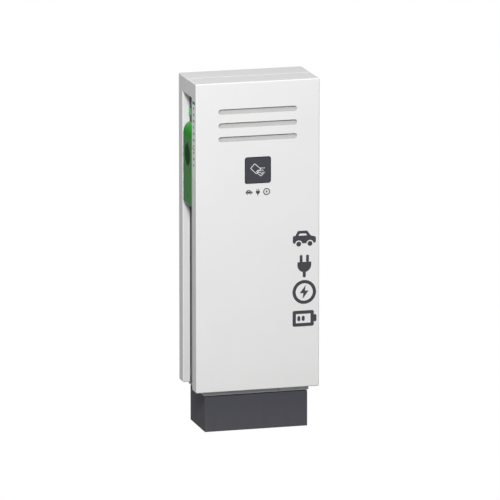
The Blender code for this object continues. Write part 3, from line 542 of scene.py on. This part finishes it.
def printed(name, pale, deep, rough=(0.30, 0.42)):
    """Screen-printed or vinyl film: even ink with a faint mottle, worn a little duller in small patches."""
    return moulded(name, pale, deep, rough=rough, grain=0.0014, relief=0.08, ior=1.46)


def stroke(start, end, width, steps=8):
    """The outline of a straight stroke with round ends."""
    turn = math.degrees(math.atan2(end[1] - start[1], end[0] - start[0]))
    radii = (width / 2, width / 2)
    return arc(end, radii, turn - 90, turn + 90, steps) + arc(start, radii, turn + 90, turn + 270, steps)


def path(points, width, closed=False):
    """Strokes from point to point."""
    ends = points[1:] + points[:1] if closed else points[1:]
    return [stroke(start, end, width) for start, end in zip(points, ends)]


def disc(centre, radius, steps=28):
    return arc(centre, (radius, radius), 0, 360 - 360 / steps, steps - 1)


def scaled(outlines, scale, centre):
    """Outlines drawn in millimetres, brought to size and place in metres."""
    ratio = scale / 1000
    return [[(centre[0] + x * ratio, centre[1] + y * ratio) for x, y in outline] for outline in outlines]


def mark(name, shapes, holes, axis, surface, film, material, body, slot):
    """A printed mark as one thin solid: the outlines joined, with the holes cut out."""
    low, high = sorted((surface, surface + film))
    first, *others = [prism_object(f"{name}_{index}", shape, axis, low, high)
                      for index, shape in enumerate(shapes)]
    first.name = name
    if others:
        combine(first, others, "UNION")
    if holes:
        reach = abs(film)
        combine(first, [prism_object(f"{name}_hole_{index}", hole, axis, low - reach, high + reach)
                        for index, hole in enumerate(holes)])
    return finish_piece(first, material, body, slot, smooth=25, weighted=False)


BADGE_LINE = 2.0
INK = 0.00012
# White screen ink: flat and even, just raised enough to catch an edge.
white_ink = printed("white_screen_ink", "#F1F1F1", "#E6E7E8")
card = [(-12.4, 24.7), (-27.9, 8.1), (-6.4, -13.4), (11.8, 3.8)]
sign = path(card, BADGE_LINE, closed=True)
sign += path([(10.0, 7.2), (26.9, 7.0)], BADGE_LINE)
sign += path([(-5.4, -5.6), (0.0, -1.2), (21.5, -1.4)], BADGE_LINE)
sign += path([(-3.2, -10.4), (11.8, -23.1), (26.9, -9.1)], BADGE_LINE)
sign += path([(-3.0, -8.6), (9.0, -8.6), (14.0, -14.0), (22.0, -8.2)], BADGE_LINE)
badge_centre = ((badge_low.x + badge_high.x) / 2, (badge_low.z + badge_high.z) / 2)
mark("badge_sign", scaled(sign, 1.0, badge_centre), [], "Y", badge_low.y + RIM_STEP - CLEAR, -INK, white_ink,
     "door", "white_paint")


# ---- printed pictograms on the door ---------------------------------------------------------------
# Four generic signs in slate vinyl film, stacked at the right of the door, and the same signs small
# under the badge: a battery, a lightning bolt in a ring, a plug and a car. They stand for no maker.
FILM = -0.00014
# Cast vinyl film in slate: the plinth's colour, but smooth.
slate_film = printed("slate_vinyl_film", "#46474D", "#414248", rough=(0.34, 0.46))


def battery_sign():
    case = path([(-39.0, -24.0), (31.0, -24.0), (31.0, 24.0), (-39.0, 24.0)], 13.0, closed=True)
    bars = path([(-21.0, -4.0), (-21.0, 4.0)], 12.0) + path([(-4.0, -4.0), (-4.0, 4.0)], 12.0)
    return case + bars + path([(42.0, -8.0), (42.0, 8.0)], 12.0), []


def bolt_sign():
    bolt = [(6.0, 27.0), (-18.0, -4.5), (-3.5, -4.5), (-7.0, -27.0), (17.0, 5.0), (2.5, 5.0)]
    dial = [disc((0.0, 0.0), 46.0, 48)]
    return dial, [disc((0.0, 0.0), 33.5, 48)], [bolt]


def plug_sign():
    head = [(-27.0, 14.0)] + arc((0.0, 2.0), (27.0, 27.0), 180, 360, 20) + [(27.0, 14.0)]
    pins = path([(-12.5, 14.0), (-12.5, 36.0)], 11.0) + path([(12.5, 14.0), (12.5, 36.0)], 11.0)
    return [head] + pins + path([(0.0, -22.0), (0.0, -40.0)], 12.0), []


def car_sign():
    lower = path([(-39.0, -10.0), (39.0, -10.0), (39.0, 3.0), (20.0, 8.0), (-39.0, 8.0)], 12.0, closed=True)
    filled = [(-40.0, -12.0), (40.0, -12.0), (40.0, 4.0), (20.0, 10.0), (-40.0, 10.0)]
    cabin = path([(-32.0, 8.0), (-22.0, 27.0), (8.0, 27.0), (22.0, 8.0)], 11.0)
    wheels = [disc((x, -18.0), 9.5) for x in (-22.0, 22.0)]
    arches = [disc((x, -18.0), 14.0) for x in (-22.0, 22.0)]
    return lower + [filled] + cabin, arches, wheels


def door_sign(name, drawing, scale, centre):
    """One sign on the door's face: shapes joined, holes cut, and loose shapes laid in the holes."""
    shapes, holes, *loose = drawing      # a drawing has a third list only where it has loose shapes
    ink = (slate_film, "door", "slate_paint")
    mark(name, scaled(shapes, scale, centre), scaled(holes, scale, centre), "Y", front_y - CLEAR, FILM, *ink)
    for index, shape in enumerate(loose[0] if loose else []):
        mark(f"{name}_inlay_{index}", scaled([shape], scale, centre), [], "Y", front_y - CLEAR, FILM, *ink)


COLUMN_X = 0.181
COLUMN_Z = (0.376, 0.773)
SIGN_SIZE = 0.092
SIGN_PITCH = (COLUMN_Z[1] - COLUMN_Z[0] - SIGN_SIZE) / 3
signs = {"battery": battery_sign, "bolt": bolt_sign, "plug": plug_sign, "car": car_sign}
for index, (label, draw) in enumerate(signs.items()):
    door_sign(f"door_{label}_sign", draw(), 1.0, (COLUMN_X, COLUMN_Z[0] + SIGN_SIZE / 2 + index * SIGN_PITCH))
SMALL_Z = 0.9175
SMALL_SCALE = 0.29
SMALL_PITCH = 0.034
for index, label in enumerate(("car", "plug", "bolt")):
    door_sign(f"small_{label}_sign", signs[label](), SMALL_SCALE, ((index - 1) * SMALL_PITCH, SMALL_Z))


# ---- user label -----------------------------------------------------------------------------------
# A narrow white vinyl label on the door's left flange with generic coloured bands and no lettering.
LABEL_Y = (-0.1155, -0.0715)
LABEL_Z = (0.976, 1.2725)
HEADER_Z = (1.2580, 1.2690)
LINE_Z = (1.0855, 1.0900)
BAR_TOP = 1.238
BAR_PITCH = 0.024
BAR_HEIGHT = 0.009
label_face = door_low.x
# White vinyl with screen inks: flat colours that the sun has taken a little out of.
white_film = printed("white_vinyl_label", "#E9EDEA", "#DEE3E0")
green_ink = printed("green_label_ink", "#2E7F5E", "#2A7658")
orange_ink = printed("orange_label_ink", "#C08A5A", "#B58050")
grey_ink = printed("grey_label_ink", "#79847E", "#707B75")


def label_print(name, boxes, film, material, corner):
    """Rectangles on the left flange, given as Y limits and Z limits."""
    shapes = [rounded_outline(y, z, corner, 4) for y, z in boxes]
    mark(name, shapes, [], "X", label_face - film, -0.00008, material, "door", "white_paint")


label_print("flange_label", [(LABEL_Y, LABEL_Z)], 0.00001, white_film, 0.004)
label_inner = (LABEL_Y[0] + 0.004, LABEL_Y[1] - 0.004)
label_print("label_header", [(label_inner, HEADER_Z)], 0.0001, green_ink, 0.001)
label_print("label_line", [(label_inner, LINE_Z)], 0.0001, orange_ink, 0.001)
middle = sum(LABEL_Y) / 2
bars = []
for index in range(10):
    bar_z = BAR_TOP - BAR_PITCH * index
    if abs(bar_z + BAR_HEIGHT / 2 - sum(LINE_Z) / 2) > 0.01:
        bars.append(((middle - 0.004 - (index % 3) * 0.003, middle + 0.006), (bar_z, bar_z + BAR_HEIGHT)))
label_print("label_bars", bars, 0.0001, grey_ink, 0.001)


# ---- socket covers --------------------------------------------------------------------------------
# Green covers over the sockets, moulded in glass-filled polyamide with 4.5 mm rounded edges and a round
# opening for the lid. Their curved top is a separate moulding in clear green polycarbonate, brighter green
# than the cover and glowing faintly: painted light for the light that falls on the curved top. One screw
# near its foot holds each cover on its side wall.
COVER_WALL = 0.003
COVER_EDGE = 0.0045
COVER_CORNER_Z = 1.120
COVER_TOE = 0.006
CROWN_JOINT = 0.0004
SOCKET_Z = 1.048
LID_HOLE_R = 0.0398
SCREW_Z = 0.8895
SCREW_HOLE_R = 0.0048
POCKET_HALF = 0.0125
WALL_X = 0.211
SIDES = {"left": -1, "right": 1}
# Green polyamide from a polished tool: its thin glossy skin turns the face paler at a low angle.
cover_green = moulded("green_polyamide", "#2C8D2D", "#278328", rough=(0.17, 0.25), grain=0.0010, relief=0.12)
cover_shader = cover_green.node_tree.nodes["Principled BSDF"]
cover_shader.inputs["Coat Weight"].default_value = 0.6
cover_shader.inputs["Coat Roughness"].default_value = 0.12
# Clear green polycarbonate: its brighter, more even green and faint glow are painted light for the light
# that falls on the curved top.
crown_painted_glow = moulded("clear_green_polycarbonate", "#0C8F0D", "#097B0A", rough=(0.36, 0.46), grain=0.0016,
                      relief=0.10, ior=1.40)
crown_shader = crown_painted_glow.node_tree.nodes["Principled BSDF"]
crown_shader.inputs["Emission Color"].default_value = linear("#0FB40F")
crown_shader.inputs["Emission Strength"].default_value = 0.04


def socket_cover(side, sign):
    low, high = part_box(f"housing_{side}")
    back_x, face_x = sorted((abs(low.x), abs(high.x)))
    radii = (face_x - WALL_X, high.z - COVER_CORNER_Z)
    crown = [(max(x, back_x), z) for x, z in arc((WALL_X, COVER_CORNER_Z), radii, 0, 90, 24)]
    outline = [(sign * x, z) for x, z in [(back_x, low.z), (face_x, low.z + COVER_TOE)] + crown]
    bm = bmesh.new()
    prism(bm, outline, "Y", low.y, high.y)
    bmesh.ops.recalc_face_normals(bm, faces=bm.faces)

    def rounded(edge):
        first, second = (vert.co for vert in edge.verts)
        at_back = abs(abs(first.x) - back_x) < 1e-5 and abs(abs(second.x) - back_x) < 1e-5
        around_end = abs(first.y - second.y) < 1e-6
        lower_front = all(abs(vert.co.z - low.z - COVER_TOE) < 1e-5 for vert in edge.verts)
        return not at_back and (around_end or lower_front)

    chosen = [edge for edge in bm.edges if rounded(edge)]
    bmesh.ops.bevel(bm, geom=chosen, offset=COVER_EDGE, offset_type="OFFSET", segments=6, profile=0.5,
                    affect="EDGES", clamp_overlap=True)
    cover = new_object(f"socket_cover_{side}", bm)
    inner = arc((WALL_X, COVER_CORNER_Z), (radii[0] - COVER_WALL, radii[1] - COVER_WALL), 0, 90, 24)
    floor_z = low.z + COVER_TOE + COVER_WALL
    hollow = [(WALL_X - 0.01, floor_z), (face_x - COVER_WALL, floor_z)] + inner
    hollow.append((WALL_X - 0.01, inner[-1][1]))
    hollow = [(sign * x, z) for x, z in hollow]
    room = prism_object("room", hollow, "Y", low.y + COVER_WALL, high.y - COVER_WALL)
    start = sign * (face_x - 0.010)
    lid_opening = rod_object("lid_opening", (start, 0, SOCKET_Z), (sign, 0, 0), LID_HOLE_R, 0.02, 96)
    pin_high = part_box(f"lid_{side}")[1].z
    pocket = block_object("pocket", (start, sign * (face_x + 0.01)), (-POCKET_HALF, POCKET_HALF),
                          (SOCKET_Z + LID_HOLE_R - 0.004, pin_high + 0.0020), 0.0010, 2)
    screw_hole = rod_object("screw_hole", (start, 0, SCREW_Z), (sign, 0, 0), SCREW_HOLE_R, 0.02, 32)
    combine(cover, [room, lid_opening, pocket, screw_hole])
    easing = cover.modifiers.new("eased_edges", "BEVEL")
    easing.width = 0.0005
    easing.segments = 2
    easing.limit_method = "ANGLE"
    easing.angle_limit = math.radians(60)
    settled_mesh(cover)
    # the crown, cut from the cover, takes the painted-light green and glow
    crown = bpy.data.objects.new(f"crown_light_{side}", cover.data.copy())
    scene.collection.objects.link(crown)
    reach = (sign * 0.19, sign * 0.26)
    combine(cover, [block_object("above", reach, (-0.1, 0.1), (COVER_CORNER_Z, 1.2))])
    combine(crown, [block_object("below", reach, (-0.1, 0.1), (0.8, COVER_CORNER_Z + CROWN_JOINT))])
    finish_piece(cover, cover_green, "post", "green_plastic", f"housing_{side}", smooth=30)
    finish_piece(crown, crown_painted_glow, "post", "green_lens", smooth=30)


for side, sign in SIDES.items():
    socket_cover(side, sign)


# ---- lids and sockets -----------------------------------------------------------------------------
# Each lid is a dark green moulding on a steel pin, with a finger notch and a rubber seal on its back.
# The socket behind it is a black shroud with seven contacts, and a pin from above locks the plug in.
# The lid's dark green polyamide has a matt eroded face. The shroud's black one is half matt, and the seal's
# EPDM rubber is dull.
lid_green = moulded("dark_green_polyamide", "#123F10", "#0F380E", rough=(0.55, 0.68), grain=0.0010,
                    relief=0.3, ior=1.42)
black_polyamide = moulded("black_polyamide", "#1B1B1D", "#161618", rough=(0.38, 0.52), grain=0.0009)
seal_rubber = moulded("epdm_rubber", "#19191A", "#141415", rough=(0.62, 0.78), grain=0.0006, relief=0.5,
                      ior=1.5)


def metal(name, pale, deep, rough, crystal, relief=0.15):
    """Bare or plated metal: crystals of a real size change its tone and its gloss."""
    material = bpy.data.materials.new(name)
    material.use_nodes = True
    tree = material.node_tree
    shader = tree.nodes["Principled BSDF"]
    shader.inputs["Metallic"].default_value = 1.0
    place = add(tree, "ShaderNodeTexCoord").outputs["Object"]
    cells = add(tree, "ShaderNodeTexVoronoi", {"Scale": 1.0 / crystal}, {"Vector": place})
    grey = add(tree, "ShaderNodeSeparateColor", None, {"Color": cells.outputs["Color"]})
    tone = add(tree, "ShaderNodeMix", {"data_type": "RGBA", 6: linear(pale), 7: linear(deep)},
               {0: grey.outputs["Red"]})
    tree.links.new(tone.outputs[2], shader.inputs["Base Color"])
    gloss = add(tree, "ShaderNodeMapRange", {"To Min": rough[0], "To Max": rough[1]},
                {"Value": grey.outputs["Green"]})
    tree.links.new(gloss.outputs["Result"], shader.inputs["Roughness"])
    bump = add(tree, "ShaderNodeBump", {"Strength": relief, "Distance": 0.00003},
               {"Height": grey.outputs["Blue"]})
    tree.links.new(bump.outputs["Normal"], shader.inputs["Normal"])
    return material


# Zinc plate is bright with a fine crystal, hot-dip galvanising has a faint spangle 7 mm across, and the
# turned brass of contacts and bars is warm and glossy.
zinc_plate = metal("bright_zinc_plate", "#C9CBCE", "#BBBDC1", (0.28, 0.40), 0.0016)
galvanised = metal("galvanised_sheet", "#B9BDC1", "#AFB3B8", (0.40, 0.48), 0.007, relief=0.06)
turned_brass = metal("turned_brass", "#D9B668", "#CFA958", (0.22, 0.34), 0.0022)


def parts_in_rows():
    """A tree that sets a small part on a grid of points, across X and up Z around a middle."""
    tree = bpy.data.node_groups.new("parts_in_rows", "GeometryNodeTree")
    tree.interface.new_socket("Geometry", in_out="INPUT", socket_type="NodeSocketGeometry")
    inputs = {"Part": "Object", "Across": "Int", "Up": "Int", "Width": "Float", "Height": "Float",
              "Middle": "Vector", "Turn": "Vector", "Finish": "Material"}
    for label, kind in inputs.items():
        tree.interface.new_socket(label, in_out="INPUT", socket_type=f"NodeSocket{kind}")
    tree.interface.new_socket("Geometry", in_out="OUTPUT", socket_type="NodeSocketGeometry")
    given = add(tree, "NodeGroupInput").outputs
    grid = add(tree, "GeometryNodeMeshGrid", None, {
        "Size X": given["Width"], "Size Y": given["Height"], "Vertices X": given["Across"],
        "Vertices Y": given["Up"]})
    stood = add(tree, "GeometryNodeTransform", None, {
        "Geometry": grid.outputs["Mesh"], "Translation": given["Middle"], "Rotation": given["Turn"]})
    part = add(tree, "GeometryNodeObjectInfo", None, {"Object": given["Part"]})
    copies = add(tree, "GeometryNodeInstanceOnPoints", None, {
        "Points": stood.outputs["Geometry"], "Instance": part.outputs["Geometry"]})
    real = add(tree, "GeometryNodeRealizeInstances", None, {"Geometry": copies.outputs["Instances"]})
    painted = add(tree, "GeometryNodeSetMaterial", None, {
        "Geometry": real.outputs["Geometry"], "Material": given["Finish"]})
    add(tree, "NodeGroupOutput", None, {"Geometry": painted.outputs["Geometry"]})
    return tree


ROWS = parts_in_rows()
UPRIGHT = (math.pi / 2, 0.0, 0.0)


def rows(name, part, across, up, width, height, middle, finish, turn=UPRIGHT):
    """A plain mesh object of a part repeated in rows; the part stays for the next use."""
    points = bpy.data.objects.new(name, bpy.data.meshes.new(name))
    scene.collection.objects.link(points)
    repeat = points.modifiers.new("rows", "NODES")
    repeat.node_group = ROWS
    values = {"Part": part, "Across": across, "Up": up, "Width": width, "Height": height,
              "Middle": tuple(middle), "Turn": turn, "Finish": finish}
    for item in ROWS.interface.items_tree:
        if item.in_out == "INPUT" and item.name in values:
            repeat[item.identifier] = values[item.name]
    settled_mesh(points)
    return points


def joined(name, objects):
    """Several objects as one, each with its own place in the mesh."""
    bm = bmesh.new()
    for obj in objects:
        obj.data.transform(obj.matrix_world)
        bm.from_mesh(obj.data)
    for obj in objects:
        bpy.data.objects.remove(obj, do_unlink=True)
    mesh = bpy.data.meshes.new(name)
    bm.to_mesh(mesh)
    bm.free()
    result = bpy.data.objects.new(name, mesh)
    scene.collection.objects.link(result)
    return result


def turned_ring(name, inner, outer, low, high, origin, axis, edge=0.0003):
    """A flat ring turned about an axis, with eased edges."""
    bm = bmesh.new()
    profile = [(inner, low + edge), (inner + edge, low), (outer - edge, low), (outer, low + edge),
               (outer, high - edge), (outer - edge, high), (inner + edge, high), (inner, high - edge),
               (inner, low + edge)]
    lathe(bm, profile, origin, axis, 72)
    bmesh.ops.remove_doubles(bm, verts=bm.verts, dist=0.000002)
    return new_object(name, bm)


# Each contact: across, up, and the radius of its bore.
CONTACTS = [(-0.0105, 0.0, 0.0030), (0.0, 0.0, 0.0030), (0.0105, 0.0, 0.0030), (-0.0058, -0.0115, 0.0030),
            (0.0058, -0.0115, 0.0030), (-0.0065, 0.0105, 0.0018), (0.0065, 0.0105, 0.0018)]
SEAL_RADII = (0.0315, 0.0345)
SEAL_HEIGHT = 0.00045
SLEEVE_WALL = 0.00055
for side, sign in SIDES.items():
    fine_copy(f"lid_{side}", lid_green, f"{side}_lid", "dark_green_plastic", edge=0.0006, segments=3,
              smooth=32)
    fine_copy(f"lid_pin_{side}", zinc_plate, "post", "zinc_steel", edge=0.0002)
    fine_copy(f"cover_screw_{side}", black_polyamide, "post", "black_plastic", edge=0.0003)
    fine_copy(f"socket_{side}", black_polyamide, "post", "black_plastic", edge=0.0004)
    fine_copy(f"contact_block_{side}", black_polyamide, "post", "black_plastic", edge=0.0004)
    fine_copy(f"lock_actuator_{side}", black_polyamide, "post", "black_plastic", edge=0.0)
    fine_copy(f"lock_pin_{side}", zinc_plate, f"{side}_lock_pin", "zinc_steel", edge=0.0004)
    lid_low, lid_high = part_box(f"lid_{side}")
    lid_back = min(abs(lid_low.x), abs(lid_high.x))
    seal = turned_ring(f"lid_seal_{side}", *SEAL_RADII, 0.0, SEAL_HEIGHT,
                       (sign * (lid_back - SEAL_HEIGHT), 0, SOCKET_Z), (sign, 0, 0), edge=0.0001)
    finish_piece(seal, seal_rubber, f"{side}_lid", "rubber")
    block_low, block_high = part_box(f"contact_block_{side}")
    mouth = max(abs(block_low.x), abs(block_high.x))
    sleeves = []
    for index, (across, up, radius) in enumerate(CONTACTS):
        outer = radius - 0.00005
        sleeves.append(turned_ring(f"sleeve_{index}", outer - SLEEVE_WALL, outer, -0.028, -0.0015,
                                   (sign * mouth, across, SOCKET_Z + up), (sign, 0, 0), edge=0.0001))
    finish_piece(joined(f"contacts_{side}", sleeves), turned_brass, "post", "brass")


# ---- status lights --------------------------------------------------------------------------------
# A green polycarbonate lens above each socket, on the side wall; diodes behind it glow faintly through.
# Green polycarbonate with a fine pebbled face: pale, glossy and faintly lit.
light_lens = moulded("green_polycarbonate_lens", "#5F9868", "#558D5E", rough=(0.12, 0.22), grain=0.0020,
                     relief=0.5, ior=1.58)
lens_shader = light_lens.node_tree.nodes["Principled BSDF"]
lens_shader.inputs["Emission Color"].default_value = linear("#4CC66A")
lens_shader.inputs["Emission Strength"].default_value = 0.03
for side, sign in SIDES.items():
    fine_copy(f"status_light_{side}", light_lens, "post", "green_lens", edge=0.0)


# ---- hinges and lock ------------------------------------------------------------------------------
# Zinc plated steel: two pin hinges hidden in the right recess, and a quarter-turn lock on the left
# whose cam turns behind a keeper on the side wall.
for index in (0, 1):
    fine_copy(f"hinge_frame_leaf_{index}", zinc_plate, "post", "zinc_steel", edge=0.0003)
    fine_copy(f"hinge_pin_{index}", zinc_plate, "post", "zinc_steel", edge=0.0002)
    fine_copy(f"hinge_door_leaf_{index}", zinc_plate, "door", "zinc_steel", edge=0.0003)
fine_copy("lock_body", zinc_plate, "door", "zinc_steel", edge=0.0003)
fine_copy("lock_cam", zinc_plate, "cam", "zinc_steel", edge=0.0)
fine_copy("lock_keeper", zinc_plate, "post", "zinc_steel", edge=0.0003)


# ---- cabinet --------------------------------------------------------------------------------------
# Galvanised sheet pieces spot-welded into a box between the recesses, with a rim for the door's gasket.
for node in ("cabinet_floor", "cabinet_roof", "front_rim"):
    fine_copy(node, galvanised, "post", "zinc_steel", edge=0.0003)
fine_copy("door_stiffener", galvanised, "door", "zinc_steel", edge=0.0003)
fine_copy("door_gasket", seal_rubber, "post", "rubber", edge=0.0005)
fine_copy("card_reader", black_polyamide, "door", "black_plastic", edge=0.0)
fine_copy("supply_gland", black_polyamide, "post", "black_plastic", edge=0.0006)


# ---- mounting plate and rails ---------------------------------------------------------------------
# A galvanised plate carries three 35 mm top-hat rails of zinc plated steel for the devices.
fine_copy("mounting_plate", galvanised, "post", "zinc_steel", edge=0.0003)
for name in ("lower", "middle", "upper"):
    fine_copy(f"din_rail_{name}", zinc_plate, "post", "zinc_steel", edge=0.0002)


# ---- rail devices ---------------------------------------------------------------------------------
# Light grey and black moulded cases clipped on the rails, with terminal screws in their shoulders.
# Light grey polycarbonate of rail devices, half matt, and the bright red that marks the switch's knob.
device_grey = moulded("light_grey_polycarbonate", "#C9CBC9", "#C0C2C0", rough=(0.42, 0.56))
signal_red = moulded("signal_red_polyamide", "#A8161B", "#9B1318", rough=(0.30, 0.42))
for node in ("charge_controller", "contactor_left", "contactor_right", "energy_meter_left",
             "energy_meter_right", "main_switch", "breaker_left", "breaker_right", "terminal_block"):
    fine_copy(node, device_grey, "post", "light_plastic", edge=0.0008, segments=3)
fine_copy("power_supply", black_polyamide, "post", "black_plastic", edge=0.0008, segments=3)
fine_copy("main_switch_knob", signal_red, "switch_knob", "red_plastic", edge=0.0008, segments=3)
for side in SIDES:
    fine_copy(f"breaker_lever_{side}", black_polyamide, f"{side}_lever", "black_plastic", edge=0.0006)
fine_copy("earth_bar", turned_brass, "post", "brass", edge=0.0005)


# ---- terminal screws ------------------------------------------------------------------------------
# Slotted screws in the devices' shoulders and along the earth bar and terminals. Under each screw of a device
# or the terminal block lies a thin black disc: painted shade for the recess the screw is sunk in.
def screw(name, radius, height, facing):
    """A screw head at the origin with a slot, facing along an axis."""
    bm = bmesh.new()
    lathe(bm, [(0, -0.001), (radius, -0.001), (radius, height * 0.6), (radius * 0.85, height), (0, height)],
          (0, 0, 0), (0, 0, 1), 14)
    head = new_object(name, bm)
    combine(head, [block_object("slot", (-radius * 1.2, radius * 1.2), (-radius * 0.16, radius * 0.16),
                                (height * 0.3, height * 2))])
    turn = Vector((0, 0, 1)).rotation_difference(Vector(facing)).to_matrix().to_4x4()
    head.data.transform(turn)
    return head


def well_shade_disc(name, radius, facing):
    """A thin black disc under a screw: painted shade for the recess it is sunk in."""
    return rod_object(name, (0, 0, 0), facing, radius, 0.00015, 16)


FRONT = (0, -1, 0)
TERMINALS = {"charge_controller": 9, "power_supply": 4, "contactor_left": 3, "contactor_right": 3,
             "energy_meter_left": 4, "energy_meter_right": 4, "main_switch": 4, "breaker_left": 4,
             "breaker_right": 4}
SHOULDER_DEPTH = 0.014
SHOULDER_INSET = 0.022
SUNK = Vector((0, -0.0001, 0))
device_screw = screw("device_screw", 0.0025, 0.0006, FRONT)
# painted shade: a black disc under each device screw stands for the dark of its recess
screw_well = well_shade_disc("screw_well", 0.0036, FRONT)
heads, well_shades = [], []
for node, count in TERMINALS.items():
    low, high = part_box(node)
    middle = Vector(((low.x + high.x) / 2, low.y + SHOULDER_DEPTH, (low.z + high.z) / 2))
    width = (high.x - low.x) * (count - 1) / count
    height = high.z - low.z - SHOULDER_INSET
    heads.append(rows(f"{node}_screws", device_screw, count, 2, width, height, middle + SUNK, zinc_plate))
    # the black discs of painted recess shade go under the screws
    well_shades.append(rows(f"{node}_wells", screw_well, count, 2, width, height, middle, black_polyamide))
low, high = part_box("terminal_block")
middle = Vector(((low.x + high.x) / 2, low.y, (low.z + high.z) / 2))
BLOCK_GRID = (8, 2, 0.175, 0.030)
heads.append(rows("block_screws", device_screw, *BLOCK_GRID, middle + SUNK, zinc_plate))
well_shades.append(rows("block_wells", screw_well, *BLOCK_GRID, middle, black_polyamide))
low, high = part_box("earth_bar")
bar_screw = screw("bar_screw", 0.0030, 0.0020, (0, 0, 1))
BAR_SCREWS_Y = 0.085
heads.append(rows("bar_screws", bar_screw, 6, 1, 0.090, 0.0, Vector((0.0, BAR_SCREWS_Y, high.z)), zinc_plate))
finish_piece(joined("terminal_screws", heads), zinc_plate, "post", "zinc_steel", weighted=False)
# all the black discs of painted recess shade, under the device and terminal screws
finish_piece(joined("terminal_wells", well_shades), black_polyamide, "post", "black_plastic", weighted=False)

SCREW_PAIR = 0.024
DOOR_SCREWS_Y = -0.088
FRAME_SCREWS_Y = -0.044
inward_screw = screw("inward_screw", 0.0032, 0.0012, (-1, 0, 0))
outward_screw = screw("outward_screw", 0.0032, 0.0012, (1, 0, 0))
door_screws, frame_screws = [], []
for index in (0, 1):
    low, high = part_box(f"hinge_door_leaf_{index}")
    plate_x = high.x - 0.0015
    door_screws.append(rows(f"door_leaf_screws_{index}", inward_screw, 1, 2, 0.0, SCREW_PAIR,
                            Vector((plate_x, DOOR_SCREWS_Y, (low.z + high.z) / 2)), zinc_plate))
    low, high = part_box(f"hinge_frame_leaf_{index}")
    frame_screws.append(rows(f"frame_leaf_screws_{index}", outward_screw, 1, 2, 0.0, SCREW_PAIR,
                             Vector((low.x + 0.002, FRAME_SCREWS_Y, (low.z + high.z) / 2)), zinc_plate))
finish_piece(joined("door_leaf_screws", door_screws), zinc_plate, "door", "zinc_steel", weighted=False)
finish_piece(joined("frame_leaf_screws", frame_screws), zinc_plate, "post", "zinc_steel", weighted=False)
for part in (device_screw, screw_well, bar_screw, inward_screw, outward_screw):
    bpy.data.objects.remove(part, do_unlink=True)


# ---- device fronts --------------------------------------------------------------------------------
# Blank label plates, dark display windows, test buttons and small green diodes on the devices' fronts.
# Acrylic windows are dark and shiny, diodes are small clear green lights, buttons and plates are plain
# coloured mouldings.
display_glass = moulded("tinted_acrylic_window", "#39423C", "#353E38", rough=(0.08, 0.16), relief=0.05,
                        ior=1.49)
diode = moulded("green_diode_epoxy", "#4CC95C", "#43BD53", rough=(0.18, 0.28), relief=0.05)
diode_shader = diode.node_tree.nodes["Principled BSDF"]
diode_shader.inputs["Emission Color"].default_value = linear("#58E06A")
diode_shader.inputs["Emission Strength"].default_value = 0.8
yellow_plastic = moulded("signal_yellow_polyamide", "#D9A915", "#CE9F10", rough=(0.34, 0.46))
button_blue = moulded("grey_blue_polyamide", "#4C6478", "#465D70", rough=(0.36, 0.48))


def on_front(name, node, boxes, material, slot, proud=0.0005, corner=0.0004):
    """Small plates on a device's front, given in millimetres from the middle of its face."""
    low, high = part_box(node)
    across, up = (low.x + high.x) / 2, (low.z + high.z) / 2
    plates = []
    for index, (x, z, width, height) in enumerate(boxes):
        left, right = across + (x - width / 2) / 1000, across + (x + width / 2) / 1000
        bottom, top = up + (z - height / 2) / 1000, up + (z + height / 2) / 1000
        plates.append(block_object(f"{name}_{index}", (left, right), (low.y - proud, low.y - 0.00002),
                                   (bottom, top), min(corner, proud * 0.6), 2))
    return finish_piece(joined(name, plates), material, "post", slot)


white_plate = printed("white_label_plate", "#E9EAEA", "#DFE0E0")
as_label = (white_plate, "white_paint", 0.0003)
as_diode = (diode, "green_lens", 0.0010)
on_front("controller_label", "charge_controller", [(-18, 6, 56, 22), (30, 14, 24, 6)], *as_label)
diode_places = [(20 + 7 * step, -10, 3, 3) for step in range(4)]
on_front("controller_diodes", "charge_controller", diode_places, *as_diode)
on_front("controller_window", "charge_controller", [(-18, -14, 40, 9)], display_glass, "badge_plastic",
         0.0006)
on_front("supply_label", "power_supply", [(0, 6, 40, 18)], *as_label)
on_front("supply_diode", "power_supply", [(-14, -14, 3, 3)], *as_diode)
for side in SIDES:
    meter, contactor, breaker = f"energy_meter_{side}", f"contactor_{side}", f"breaker_{side}"
    on_front(f"meter_window_{side}", meter, [(0, 8, 44, 15)], display_glass, "badge_plastic", 0.0008)
    on_front(f"meter_label_{side}", meter, [(-8, -10, 34, 12)], *as_label)
    on_front(f"meter_diode_{side}", meter, [(20, -8, 3, 3)], *as_diode)
    on_front(f"contactor_label_{side}", contactor, [(0, -9, 32, 14)], *as_label)
    on_front(f"contactor_slide_{side}", contactor, [(0, 10, 14, 9)], black_polyamide, "black_plastic", 0.0020,
             0.0008)
    on_front(f"breaker_label_{side}", breaker, [(-26, 0, 13, 34)], *as_label)
    on_front(f"test_button_{side}", breaker, [(26, 8, 8, 8)], button_blue, "badge_plastic", 0.0020, 0.0008)
on_front("switch_plate", "main_switch", [(0, 0, 44, 44)], yellow_plastic, "light_plastic", 0.00025)
